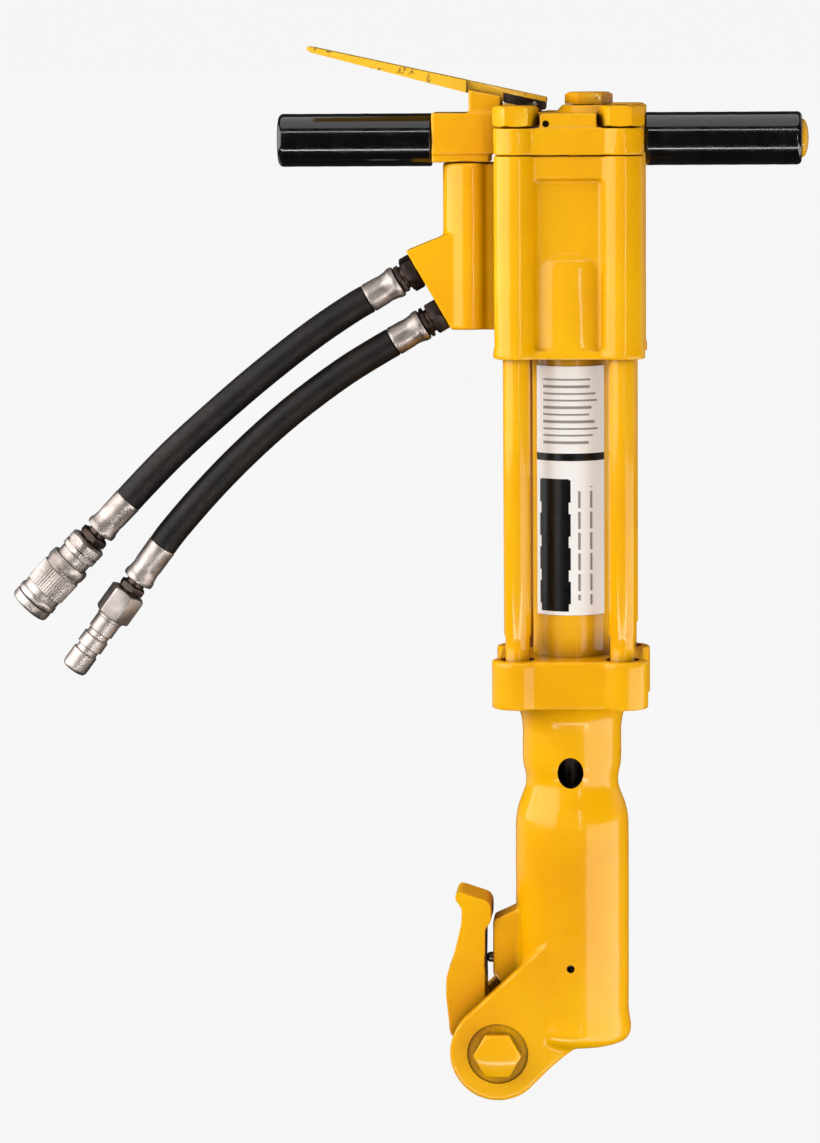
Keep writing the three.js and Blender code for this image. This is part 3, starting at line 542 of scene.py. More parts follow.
MATERIALS = {
    "cast_yellow": yellow_enamel("cast_yellow", 0.4, 0.12),
    "smooth_yellow": yellow_enamel("smooth_yellow", 0.08, 0.05),
    "grip_vinyl": grip_vinyl(),
    "hose_rubber": hose_rubber(),
    "machined": metal("machined_steel", srgb(128, 122, 118), srgb(196, 190, 186), 0.22, 0.42),
    "plated": metal(
        "plated_steel", srgb(136, 125, 119), srgb(206, 196, 190), 0.36, 0.5, 0.05, srgb(70, 56, 50), 0.3,
    ),
    "black": metal("black_steel", srgb(22, 18, 17), srgb(84, 74, 70), 0.3, 0.5, 0.15, srgb(98, 74, 62), 0.25),
    "bronze": metal("bearing_bronze", srgb(134, 92, 44), srgb(196, 150, 82), 0.28, 0.45),
    "label_white": label_film("label_white", srgb(252, 252, 251), srgb(214, 208, 198)),
    "label_black": label_film("label_black", srgb(6, 5, 5), srgb(30, 26, 24)),
    "label_grey": label_film("label_grey", srgb(150, 146, 142), srgb(176, 168, 158)),
}

# ---------------- sizes read from the frame

FOOT_LOW, FOOT_HIGH = bounds_mm("foot")
ROD_PITCH = abs(centre_mm("side_rod_front_left").x)
PIVOT = centre_mm("latch_bolt")
BAR_Z = centre_mm("grip_right").z
HOUSING_LOW, HOUSING_HIGH = bounds_mm("main_housing")
CORNERS = {
    "front_left": (-ROD_PITCH, -ROD_PITCH), "front_right": (ROD_PITCH, -ROD_PITCH),
    "rear_left": (-ROD_PITCH, ROD_PITCH), "rear_right": (ROD_PITCH, ROD_PITCH),
}
LOBE_R = 15
ROD_BORE = 9.5


def lobed(lobe_r, side, steps=14):
    """A square with a round lobe about each side rod and flat sides between them."""
    reach = math.sqrt(lobe_r ** 2 - (side - ROD_PITCH) ** 2)
    half = math.pi / 4 + math.atan2(reach, side - ROD_PITCH)
    outline = []
    for corner in range(4):
        middle = math.pi / 4 + corner * math.pi / 2
        x = ROD_PITCH * math.sqrt(2) * math.cos(middle)
        y = ROD_PITCH * math.sqrt(2) * math.sin(middle)
        outline += arc(x, y, lobe_r, middle - half, middle + half, steps)
    return outline


# ---------------- foot and latch

EAR = {"inner": 20, "outer": 36, "r": 33, "slope": 0.77}
FLANGE = {"bottom": 238, "lobe": 17.6, "side": 49}
VENT = {"z": 192, "half_width": 8.9, "half_height": 10.85}
DRAIN = {"z": 57, "r": 2.75}
PIVOT_BORE = 9.85
BOLT_FLATS = 28.6
SPIGOT_BORE = 26.7            # holds the cylinder's ends, in the foot and in the housing


def ear_outline():
    back = math.pi / 2 + EAR["slope"]
    lower = -0.80
    x, z, r = PIVOT.x, PIVOT.z, EAR["r"]
    start = Vector((x + r * math.cos(lower), z + r * math.sin(lower)))
    control = start + Vector((20, 22))
    end = Vector((6, 2))
    steps = [k / 8 for k in range(1, 9)]
    curve = [tuple((1 - t) ** 2 * start + 2 * t * (1 - t) * control + t * t * end) for t in steps]
    return [(-14, 76), *arc(x, z, r, back, lower + 2 * math.pi, 40), *curve, (6, 20), (-14, 40)]


def make_foot():
    top = FOOT_HIGH.z
    barrel = [
        (0, 0), (34, 0), (38, 1.4), (40.2, 5), (40.6, 10), (39.6, 16), (38.9, 22),
        (39, 60), (39, 152), (38.4, 159), (36.8, 166), (34, 173), (32.2, 178), (31.6, 183), (32.2, 188),
        (33.6, 194), (34, 200), (33.9, 220), (35, 228), (38, 234.5), (43, 239), (43, 243), (0, 243),
    ]
    flange_outline = lobed(FLANGE["lobe"], FLANGE["side"])
    ears = [
        prism(ear_outline(), -EAR["outer"], -EAR["inner"], "y"),
        prism(ear_outline(), EAR["inner"], EAR["outer"], "y"),
    ]
    lug = prism([(-54.6, 47), (-34, 27), (-34, 95), (-54.6, 85.5)], -14, 14, "y")
    thing = fused(
        "foot", [revolve(barrel, FINE), prism(flange_outline, FLANGE["bottom"], top), *ears, lug],
        voxel=1.15, smooth=9, lump=0.12,
    )
    cut(thing, [
        revolve([(0, -70), (28, -70), (28, 29), (26, 30), (0, 30)], FINE),
        post(25, 20, 160, sides=FINE), post(17, 150, 205), post(20.3, 200, 244),
        post(SPIGOT_BORE, 243.5, top + 5, sides=FINE),
        across(33.4, -EAR["inner"], EAR["inner"], PIVOT.x, PIVOT.z, FINE),
        across(PIVOT_BORE, -40, 40, PIVOT.x, PIVOT.z),
        across(21, -EAR["outer"] - 3, -EAR["outer"] + 1.7, PIVOT.x, PIVOT.z, FINE),
        across(DRAIN["r"], -44, -20, 0, DRAIN["z"], SMALL),
        turned(post(6, -58, -40.6, sides=SMALL), DRAIN["z"]),
        vent_cutter(),
        *[post(ROD_BORE, 243.2, top + 5, x, y, SMALL) for x, y in CORNERS.values()],
    ])
    sink = [(0, top - 3.2), (11.4, top - 3.2), (12, top + 4), (0, top + 4)]
    cut(thing, [revolve(sink, ROUND, (x, y, 0)) for x, y in CORNERS.values()])
    finish_piece(thing, "foot_casting", "cast_yellow", "foot")
    # Faces in the bores and on the walls of the vent and drain holes take the black steel: bare oily steel in
    # the machined bores, and painted shade on the vent and drain walls so these holes read black.
    thing.data.materials.append(MATERIALS["black"])
    for face in thing.data.polygons:
        place = face.center / MM
        inside = place.xy.length < 30.5 and 31 < place.z < 244
        drain = abs(place.x) < 2.9 and abs(place.z - DRAIN["z"]) < 2.9 and -38.6 < place.y < -20
        if inside or drain:
            face.material_index = 1


def vent_cutter():
    mesh = across(VENT["half_width"], -60, 60, 0, 0, FINE)
    stretch = Matrix.Scale(VENT["half_height"] / VENT["half_width"], 4, (0, 0, 1))
    mesh.transform(Matrix.Translation((0, 0, VENT["z"])) @ stretch)
    return mesh


def make_tool_bushing():
    low, high = bounds_mm("tool_bushing")
    r = high.y
    sleeve = [(0, low.z), (r - 1, low.z), (r, low.z + 1), (r, high.z - 1), (r - 1, high.z), (0, high.z)]
    thing = to_object("bushing", revolve(sleeve, FINE))
    lead = revolve([(0, low.z - 3), (22.5, low.z - 3), (16, low.z + 5), (0, low.z + 5)], FINE)
    cut(thing, [hexagon(32, low.z - 5, high.z + 5), lead])
    finish_piece(thing, "hexagon_bushing", "machined", "tool_bushing")


def make_latch():
    half = 19.2
    arm = softened([
        (-78.3, 106.6), (-81.2, 102), (-75.8, 94), (-76.1, 84), (-82.4, 58), (-86.6, 46.5),
        (-87.1, 34.6), (-84.4, 6), (-70, -6), (-50, -6), (-42, 10), (-59.2, 26), (-60.1, 57),
        (-59.6, 80), (-55.5, 85.5), (-55.5, 96), (-58, 100),
    ], 6, 3)
    toe = [(-54, 14), (-31, 6), (-20.6, 2), (-21, -6), (-31, -18), (-54, -21)]
    thing = fused(
        "latch",
        [
            prism(arm, -half, half, "y"), prism(toe, -half, half, "y"),
            across(19.8, -half, half, PIVOT.x, PIVOT.z),
        ],
        voxel=0.8, smooth=5, lump=0.12,
    )
    cut(thing, [across(PIVOT_BORE, -30, 30, PIVOT.x, PIVOT.z)])
    finish_piece(thing, "tool_latch", "cast_yellow", "latch")


def turned_to_y(thing, x, y, z):
    """Turns a piece built along +Z to point along +Y from (x, y, z)."""
    thing.data.transform(Matrix.Translation((x, y, z)) @ Matrix.Rotation(-math.pi / 2, 4, "X"))
    return thing


def make_latch_bolt():
    low, high = bounds_mm("latch_bolt")
    head_height = 11
    shank_r = 9.5
    head = crowned_hexagon(BOLT_FLATS, 0, head_height, 2.6)
    head.data.transform(Matrix.Rotation(math.pi, 4, "X"))
    head.data.transform(Matrix.Translation((0, 0, head_height)))
    bevelled(head, 0.5, 2)
    thread = [(0, head_height - 1), (shank_r, head_height - 1), (shank_r, 78)]
    end = high.y - low.y
    z = 80.0
    while z < end - 3:
        thread += [(shank_r, z), (shank_r - 0.9, z + 0.8)]
        z += 1.7
    thread += [(shank_r, end - 1.6), (shank_r - 1.6, end), (0, end)]
    shank = to_object("shank", revolve(thread, SMALL * 2))
    merge_into(head, shank)
    turned_to_y(head, PIVOT.x, low.y, PIVOT.z)
    finish_piece(head, "latch_hex_bolt", "cast_yellow", "latch_bolt")


def merge_into(thing, *others):
    whole = bmesh.new()
    for source in (thing, *others):
        whole.from_mesh(source.data)
    whole.to_mesh(thing.data)
    whole.free()
    for other in others:
        bpy.data.objects.remove(other)
    return thing


def make_latch_nut():
    low, high = bounds_mm("latch_nut")
    height = high.y - low.y
    nut = crowned_hexagon(BOLT_FLATS, 0, height, 2.4)
    cut(nut, [post(9.8, -1, height + 1)])
    bevelled(nut, 0.4, 2)
    turned_to_y(nut, PIVOT.x, low.y, PIVOT.z)
    finish_piece(nut, "latch_hex_nut", "cast_yellow", "latch_nut")


def make_detent():
    low, high = bounds_mm("detent_shell")
    r = (high.z - low.z) / 2
    z = centre_mm("detent_shell").z
    length = high.x - low.x
    shell = to_object("shell", revolve([
        (4, 0), (r - 0.6, 0), (r, 0.6),
        *lifted(length, (r, -0.4), (r - 0.4, 0), (0, 0), (0, -1.2), (4, -1.2)),
    ]))
    turned(shell.data, z, low.x)
    finish_piece(shell, "detent_cartridge", "black", "detent_shell")
    low, high = bounds_mm("detent_pin")
    dome = [(3.6 * math.sin(a), 3.6 * (1 - math.cos(a)) * 0.8) for a in (k * math.pi / 16 for k in range(9))]
    pin = to_object("pin", revolve([*dome, (3.6, high.x - low.x), (0, high.x - low.x)], ROUND))
    turned(pin.data, z, low.x)
    finish_piece(pin, "detent_plunger", "machined", "detent_pin")


# ---------------- power section

NECK_R = 8.3                  # of a side rod, just above the foot


def make_side_rods():
    for corner, (x, y) in CORNERS.items():
        low, high = bounds_mm(f"side_rod_{corner}")
        flange = FOOT_HIGH.z
        r = (high.x - low.x) / 2
        thing = to_object("rod", revolve([
            (0, low.z), (r, low.z),
            *lifted(flange, (r, -3), (NECK_R, -1.5), (NECK_R, 15.5), (r, 17.5)),
            *lifted(high.z, (r, -1.6), (r - 0.5, -0.6), (r - 1.6, 0), (0, 0)),
        ], ROUND, (x, y, 0)))
        name = f"side_rod_{corner}"
        finish_piece(thing, f"{name}_bar", "smooth_yellow", name)


def make_cap_nuts():
    for index, (corner, (x, y)) in enumerate(CORNERS.items()):
        name = f"cap_nut_{corner}"
        low, high = bounds_mm(name)
        turn = math.radians((4, -3, 9, -7)[index])
        thing = crowned_hexagon(26.8, low.z, high.z, 2.6, turn, both=True)
        cut(thing, [post(ROD_BORE, low.z - 1, high.z - 4.8, sides=SMALL)])
        bevelled(thing, 0.6, 3)
        thing.data.transform(Matrix.Translation((x, y, 0)))
        finish_piece(thing, f"{name}_crowned", "cast_yellow", name)


def make_cylinder():
    low, high = bounds_mm("cylinder")
    r = high.x
    thing = to_object("cylinder", revolve([
        (19, low.z), (r - 0.8, low.z), (r, low.z + 0.8), (r, high.z - 0.8), (r - 0.8, high.z), (19, high.z),
    ], FINE, closed=True))
    finish_piece(thing, "power_cylinder", "smooth_yellow", "cylinder")


# The label's layout: heights are shares of its whole height, and angles are radians round the cylinder.
RULE_LOW, RULE_HIGH = 0.622, 0.652
FIRST_ROW, ROW_PITCH, ROWS, ROW_INK = 0.69, 0.028, 10, 0.34
BLOCK_LEFT, BLOCK_RIGHT = -0.88, 0.02
LABEL = {"inner": 26.35, "outer": 26.8, "half": 1.02, "across": 120, "up": 264}


def label_tone(angle, z, low, high):
    """Which film a point of the label has: 0 white, 1 black, 2 grey. Plain blocks and bars, no letters."""
    height = (z - low) / (high - low)
    if RULE_LOW < height < RULE_HIGH:
        return 1
    if height >= RULE_HIGH:
        row = (height - FIRST_ROW) / ROW_PITCH
        inside = 0 <= row < ROWS and row % 1 < ROW_INK
        ragged = 0.50 + 0.26 * math.sin(int(row) * 2.4) ** 2
        return 2 if inside and -0.74 < angle < ragged else 0
    if BLOCK_LEFT < angle < BLOCK_RIGHT and 0.015 < height < 0.55:
        edge = angle < -0.83 or angle > -0.03
        notch = edge and int(height * 22) % 3 == 0
        return 0 if notch else 1
    for bar, (start, end) in zip((0.2, 0.52), ((0.06, 0.5), (0.04, 0.52))):
        if bar < angle < bar + 0.08 and start < height < end:
            return 2 if int(height * 60) % 5 else 0
    return 0


def make_label():
    low, high = bounds_mm("rating_label")
    outer, half = LABEL["outer"], LABEL["half"]
    across_count, up_count = LABEL["across"], LABEL["up"]
    mesh = bmesh.new()
    grid = []
    for j in range(up_count + 1):
        z = low.z + (high.z - low.z) * j / up_count
        row = []
        for i in range(across_count + 1):
            angle = -half + 2 * half * i / across_count
            row.append(mesh.verts.new((outer * math.sin(angle), -outer * math.cos(angle), z)))
        grid.append(row)
    for j in range(up_count):
        z = low.z + (high.z - low.z) * (j + 0.5) / up_count
        for i in range(across_count):
            angle = -half + 2 * half * (i + 0.5) / across_count
            face = mesh.faces.new((grid[j][i], grid[j][i + 1], grid[j + 1][i + 1], grid[j + 1][i]))
            face.material_index = label_tone(angle, z, low.z, high.z)
    thing = to_object("label", mesh)
    thick = thing.modifiers.new("film", "SOLIDIFY")
    thick.thickness = outer - LABEL["inner"]
    thick.offset = -1
    apply_modifiers(thing)
    tones = [face.material_index for face in thing.data.polygons]
    finish_piece(thing, "rating_label_film", "label_white", "rating_label")
    thing.data.materials.append(MATERIALS["label_black"])
    thing.data.materials.append(MATERIALS["label_grey"])
    for face, tone in zip(thing.data.polygons, tones):
        face.material_index = tone


SPOOL_X = -62                 # the throttle spool's bore
COLUMN = {"x": -69, "r": 17.8, "bottom": 494, "top": 607.2}
PORT = {"half": 15, "x": -111.6, "z": 547.6, "first": 15.1, "spacing": 34.2}


def port_face_x(z):
    return PORT["x"] + (PORT["z"] - z) * math.tan(PORT_FALL)


def port_place(index):
    fall = math.pi / 2 - PORT_FALL
    reach = PORT["first"] + index * PORT["spacing"]
    return PORT["x"] + reach * math.cos(fall), PORT["z"] - reach * math.sin(fall)


def make_housing():
    low, high = HOUSING_LOW.z, HOUSING_HIGH.z
    core = 40.6
    panel_bottom, panel_top = 545, 597
    c = COLUMN
    adds = [block(-core, core, -core, core, low, high)]
    adds += [post(LOBE_R, low, high, x, y) for x, y in CORNERS.values()]
    adds.append(prism(lobed(LOBE_R, 44.6), panel_top, high))
    adds.append(prism(lobed(LOBE_R + 0.8, 45.2), low, low + 6))
    belly = [
        (0, low + 1), (45.4, low + 1), *lifted(panel_bottom, (45.4, -8), (44, -3), (40, 5), (0, 5)),
    ]
    adds.append(revolve(belly, FINE))
    adds.append(block(0, 45.2, -24, 24, low + 1, panel_bottom))
    adds.append(post(c["r"], c["bottom"], c["top"], c["x"], 0))
    adds.append(block(c["x"], -42, -13, 13, c["bottom"], c["top"]))
    adds.append(prism([
        (port_face_x(c["bottom"]), c["bottom"]), (-60, c["bottom"]), (-60, 566), (-84.5, 558.5),
        (PORT["x"], PORT["z"]),
    ], -PORT["half"], PORT["half"], "y"))
    thing = fused("housing", adds, voxel=1.25, smooth=7, lump=0.18, lump_size=22)
    clear = prism([
        (port_face_x(c["bottom"] - 5), c["bottom"] - 5), (PORT["x"] + 0.6, PORT["z"] - 1),
        (PORT["x"] - 24, PORT["z"] + 9), (PORT["x"] - 24, c["bottom"] - 5),
    ], -30, 30, "y")
    bores = [
        post(SPIGOT_BORE, low - 3, 520.3, sides=FINE), post(27.3, 520, 560.2, sides=FINE),
        post(30.3, 560, high + 3, sides=FINE), post(7.3, 506, high + 3, SPOOL_X, 0, SMALL),
        post(10.3, c["bottom"] - 3, 506.2, SPOOL_X, 0, SMALL), clear,
    ]
    bores += [post(ROD_BORE, low - 3, high + 3, x, y, SMALL) for x, y in CORNERS.values()]
    bores += [port_cutter(*port_place(i)) for i in (0, 1)]
    cut(thing, bores)
    finish_piece(thing, "housing_casting", "cast_yellow", "main_housing")


def port_cutter(x, z):
    mesh = post(8.4, -9.5, 6, sides=SMALL)
    mesh.transform(Matrix.Translation((x, 0, z)) @ Matrix.Rotation(-math.pi / 2 - PORT_FALL, 4, "Y"))
    return mesh


# ---------------- handle and trigger

BAR_TOP = 641.5
STUB_R = 9                    # of the stubs that carry the two grips
SADDLE_PIN_BORE = 1.8
FLANGE_TOP = 631.5
LEVER_RISE = 0.2185


def lever_top(x):
    return 650.9 + LEVER_RISE * (-15.9 - x)


def make_handle_casting():
    low = 613
    plug = centre_mm("charging_plug")
    pin = centre_mm("trigger_pin")
    spool = centre_mm("throttle_spool")
    seat = [(0, BAR_TOP - 3), (22.5, BAR_TOP - 3), (20.8, BAR_TOP + 1), (17.8, 645.8), (0, 645.8)]
    guard = [(-68.5, BAR_TOP - 4), (-46.5, BAR_TOP - 4), (-46.5, 652), (-68.5, 656.5)]
    adds = [
        prism(lobed(LOBE_R, 46), low, FLANGE_TOP),
        block(-93.6, 50.4, -16.8, 16.8, low, BAR_TOP - 0.6),
        block(-93.6, -54, -15, 15, 607.5, 616),
        block(-19, 19, -44, 44, FLANGE_TOP - 2, BAR_TOP - 0.4),
        revolve(seat, FINE, (plug.x, 0, 0)),
    ]
    adds += [prism(guard, start, end, "y") for start, end in ((-15, -9.6), (9.6, 15))]
    thing = fused("handle", adds, voxel=0.95, smooth=5, lump=0.28, lump_size=9)
    details = [
        along(STUB_R, -115.8, -92, BAR_Z), along(STUB_R, 49.5, 72.6, BAR_Z),
        block(pin.x - 3.3, pin.x + 3.3, -5.5, 5.5, BAR_TOP - 3, pin.z),
        across(3.3, -5.5, 5.5, pin.x, pin.z, SMALL),
    ]
    boolean(thing, [to_object("detail", mesh) for mesh in details], "UNION")
    cuts = [post(ROD_BORE, low - 3, FLANGE_TOP + 3, x, y, SMALL) for x, y in CORNERS.values()]
    cuts += [
        post(4.3, 600, BAR_TOP + 5, spool.x, 0, SMALL), post(8.3, 630.7, BAR_TOP + 5, spool.x, 0, SMALL),
        post(6.3, low - 3, 634.3, plug.x, 0, SMALL), post(8.3, 634, 650, plug.x, 0, SMALL),
        across(SADDLE_PIN_BORE, -9, 9, pin.x, pin.z, SMALL), across(2.3, -50, -35, -15, 634, SMALL),
    ]
    cuts += [post(16.4, FLANGE_TOP - 0.5, FLANGE_TOP + 14, x, y) for x, y in CORNERS.values()]
    cut(thing, cuts)
    finish_piece(thing, "handle_head", "cast_yellow", "handle_casting")


def bar_piece(name, profile, material, node, closed=False):
    thing = to_object(name, revolve(profile, FINE, closed=closed))
    turned(thing.data, BAR_Z)
    finish_piece(thing, name, material, node)


def make_bars():
    low, high = bounds_mm("handle_tube_left")
    r, inner = 13, 9.8
    bar_piece("bar_tube_left", [(inner, low.x), (r, low.x), (r, high.x), (inner, high.x)],
              "smooth_yellow", "handle_tube_left", closed=True)
    low, high = bounds_mm("handle_tube_right")
    grip_end = bounds_mm("grip_right")[1].x
    angles = [k * math.pi / 20 for k in range(10)]
    dome = [(r * math.cos(a), grip_end + 0.4 + (high.x - grip_end - 0.4) * math.sin(a)) for a in angles]
    bar_piece("bar_tube_right", [
        (0, grip_end - 2), (inner, grip_end - 2), (inner, low.x), (r, low.x), *dome, (0, high.x),
    ], "smooth_yellow", "handle_tube_right")


def grip_end_round(r, end, outward, inset):
    """The rounded end of a grip, as profile points from its side to its face."""
    return [
        (r - inset + inset * math.cos(a), end - outward * inset + outward * inset * math.sin(a))
        for a in (k * math.pi / 12 for k in range(7))
    ]


def make_grips():
    low, high = bounds_mm("grip_left")
    r, bore = 18, 13.3
    closed_end = grip_end_round(r, low.x, -1, 3.4)
    open_end = grip_end_round(r, high.x, 1, 1.2)
    tube_end = bounds_mm("handle_tube_left")[0].x
    bar_piece("hand_grip_left", [
        (0, low.x), *reversed(closed_end), *grip_body(r, low.x + 6, high.x - 4), *open_end,
        (bore, high.x), (bore, tube_end - 0.4), (0, tube_end - 0.4),
    ], "grip_vinyl", "grip_left")
    low, high = bounds_mm("grip_right")
    bar_piece("hand_grip_right", [
        (bore, low.x), *reversed(grip_end_round(r, low.x, -1, 1.2)), *grip_body(r, low.x + 4, high.x - 6),
        *grip_end_round(r, high.x, 1, 3.4), (bore, high.x),
    ], "grip_vinyl", "grip_right", closed=True)


def grip_body(r, start, end):
    """The grip's side, very slightly wavy as dipped vinyl is."""
    steps = 14
    return [
        (r - 0.12 * math.sin(5.1 * k) ** 2, start + (end - start) * k / steps) for k in range(steps + 1)
    ]


def make_charging_plug():
    low, high = bounds_mm("charging_plug")
    place = centre_mm("charging_plug")
    head = crowned_hexagon(28.2, high.z - 8, high.z, 2.2, math.radians(4))
    bevelled(head, 0.5, 3)
    stem = to_object("stem", post(8, low.z, high.z - 7, sides=SMALL))
    merge_into(head, stem)
    head.data.transform(Matrix.Translation((place.x, 0, 0)))
    finish_piece(head, "charging_hex_plug", "cast_yellow", "charging_plug")


def make_trigger():
    shoulder = -70
    hand = [
        (-178, 683.8), (-174.7, 681.8), (shoulder, 654.4), (shoulder, lever_top(shoulder)),
        (-174.7, lever_top(-174.7)), (-177.6, 685.9),
    ]
    heel = [
        (shoulder - 1, 654.7), (-45, 648.4), (-45, lever_top(-45) - 3), (-16, lever_top(-16) - 3),
        (-16, lever_top(-16)), (shoulder - 1, lever_top(shoulder - 1)),
    ]
    pin = centre_mm("trigger_pin")
    thing = joined("lever", [prism(hand, -12.5, 12.5, "y")])
    heel_part = to_object("heel", prism(heel, -9, 9, "y"))
    boolean(thing, [heel_part], "UNION")
    cut(thing, [across(3.9, -5.9, 5.9, pin.x, pin.z, SMALL)])
    bevelled(thing, 0.8, 3, 35)
    finish_piece(thing, "thumb_lever", "smooth_yellow", "trigger_lever")
    # The saddle under the lever's heel carries the lever pin; its black is painted shade, standing in for the
    # dark hollow under the heel.
    side = [
        (-44.7, 647.6), (-17.2, 642.4), (-16.4, 644), (-16.4, lever_top(-16.4) - 3.3),
        (-44.7, lever_top(-44.7) - 3.3),
    ]
    saddle = to_object("saddle", prism(side, -9, 9, "y"))
    cut(saddle, [block(-34, 0, -6, 6, 641, 660), across(SADDLE_PIN_BORE, -11, 11, pin.x, pin.z, SMALL)])
    bevelled(saddle, 0.5, 2)
    finish_piece(saddle, "lever_saddle", "black", "trigger_saddle")


def make_trigger_pin():
    low, high = bounds_mm("trigger_pin")
    r = (high.z - low.z) / 2
    length = high.y - low.y
    thing = to_object("pin", revolve([
        (0, 0), (r - 0.4, 0), (r, 0.4), (r, length - 0.4), (r - 0.4, length), (0, length),
    ], SMALL))
    place = centre_mm("trigger_pin")
    turned_to_y(thing, place.x, low.y, place.z)
    finish_piece(thing, "lever_pin", "machined", "trigger_pin")


# ---------------- ports, ferrules and couplers


def make_adapters():
    for index, level in enumerate(("upper", "lower")):
        x, z = port_place(index)
        thing = crowned_hexagon(22, 0.5, 9.5, 1.4, 0.2 + 0.35 * index, both=True)
        bevelled(thing, 0.4, 2)
        swivel = crowned_hexagon(18.9, 12, 15.1, 0.8, 0.5 - 0.3 * index)
        bevelled(swivel, 0.3, 2)
        neck = to_object("neck", revolve([
            (0, -9), (8, -9), (8, 0.8), (8.6, 0.9), (8.6, 9.2), (8.2, 10), (8.2, 12.4), (0, 12.4),
        ]))
        merge_into(thing, swivel, neck)
        pointed(thing, x, z, PORT_FALL)
        name = f"port_adapter_{level}"
        finish_piece(thing, f"{name}_hex", "black", name)


def crimped(start, end):
    """A crimped ferrule, with a rolled lip at its outer end and shallow crimp flats along it."""
    r, lip = 10.2, 11.1
    mesh = revolve([
        *lifted(
            start, (0, 0), (lip - 1.2, 0), (lip - 0.3, 0.4), (lip, 1.4), (lip, 3.4),
            (lip - 0.4, 4.6), (r, 5.8), (r, 8), (r - 0.25, 9), (r - 0.25, 12), (r, 13),
        ),
        *lifted(end, (r, -3), (r + 0.1, -1.4), (r - 0.2, -0.3), (r - 0.8, 0), (0, 0)),
    ])
    for v in mesh.verts:
        if start + 7 < v.co.z < end - 4 and v.co.xy.length > 8:
            angle = math.atan2(v.co.y, v.co.x)
            v.co.xy *= 1 - 0.018 * (0.5 + 0.5 * math.cos(8 * angle))
    return to_object("ferrule", mesh)


def make_ferrules():
    for index, level in enumerate(("upper", "lower")):
        x, z = port_place(index)
        thing = pointed(crimped(15.5, 39.5), x, z, PORT_FALL)
        name = f"ferrule_start_{level}"
        finish_piece(thing, f"{name}_crimped", "plated", name)
        x, z = HOSE_ROUTES[level][-1]
        length = {"upper": 30, "lower": 30.6}[level]
        thing = crimped(-length, -0.3)
        thing.data.transform(Matrix.Rotation(math.pi, 4, "X"))
        pointed(thing, x, z, END_FALL[level])
        name = f"ferrule_end_{level}"
        finish_piece(thing, f"{name}_crimped", "plated", name)


def coupler_piece(thing, level, name, material, node):
    x, z = HOSE_ROUTES[level][-1]
    pointed(thing, x, z, END_FALL[level])
    finish_piece(thing, name, material, node)


def make_stem(level, start, flats, node):
    neck = to_object("neck", revolve(
        lifted(start, (0, 0), (6.8, 0), (6.8, 9), (5, 9), (5, 16), (0, 16)),
    ))
    collar = crowned_hexagon(flats, start + 3, start + 8.5, 0.9, 0.3, both=True)
    bevelled(collar, 0.3, 2)
    merge_into(collar, neck)
    coupler_piece(collar, level, f"{node}_hex", "black", node)


def stem_bores(start, tip):
    """The socket for the stem, and the passage on to the valve."""
    return [post(5.3, start + 7, start + 16.5, sides=SMALL), post(3, start + 15, tip, sides=SMALL)]


def make_female_coupler():
    start = 30.3
    tip = 103.4
    make_stem("upper", start, 19, "female_coupler_stem")
    shell = to_object("shell", revolve([
        *lifted(
            start, (0, 9.5), (10.5, 9.5), (12, 10.2), (13.8, 11.6), (14, 13), (14, 15.6),
            (12.8, 16.2), (12.8, 17.6), (14, 18.2), (14, 21), (13.2, 22), (12, 22.6),
        ),
        *lifted(
            tip, (12, -7.2), (13.8, -7), (14.6, -6.2), (14.6, -2), (14.2, -0.8), (13.4, -0.2),
            (9.6, 0), (0, 0),
        ),
    ], FINE))
    cut(shell, [
        post(9, tip - 30, tip + 2),
        *stem_bores(start, tip),
        *[flat_cutter(13.1, start + 10, start + 22.2, k * math.pi / 3) for k in range(6)],
    ])
    coupler_piece(shell, "upper", "female_coupler_shell", "plated", "female_coupler_body")
    sleeve = knurled_sleeve(start + 29, tip - 7.4)
    coupler_piece(sleeve, "upper", "female_coupler_collar", "plated", "female_coupler_sleeve")
    poppet = to_object("poppet", revolve(lifted(
        tip, (0, -19), (4, -19), (8.7, -14), (8.7, -1.8), (8.2, -1.2), (5.4, -1.2), (5.2, -1.6), (0, -1.6),
    )))
    coupler_piece(poppet, "upper", "female_coupler_valve", "machined", "female_coupler_poppet")


def flat_cutter(reach, z0, z1, angle):
    """Cuts one flat, at that distance from the axis, on a turned piece."""
    mesh = block(reach, reach + 6, -12, 12, z0, z1)
    mesh.transform(Matrix.Rotation(angle, 4, "Z"))
    return mesh


def knurled_sleeve(z0, z1):
    """A sleeve with straight knurling between two plain bands."""
    sides = FINE
    levels = [
        *lifted(z0, (12.3, 0), (14.2, 0), (14.9, 1.4), (15, 5.4), (14.6, 7), (14.1, 8), (14.1, 9.4)),
        (14.8, z0 + 9.8),
        *lifted(z1, (14.8, -10), (14.1, -9.6), (14.1, -5), (14.9, -4), (15, -1), (14.4, 0), (12.3, 0)),
    ]
    mesh = revolve(levels, sides, closed=True)
    for v in mesh.verts:
        if z0 + 9.6 < v.co.z < z1 - 9.8 and v.co.xy.length > 14:
            turn = round(math.atan2(v.co.y, v.co.x) / (2 * math.pi) * sides)
            if turn % 2:
                v.co.xy *= 0.972
    return to_object("sleeve", mesh)


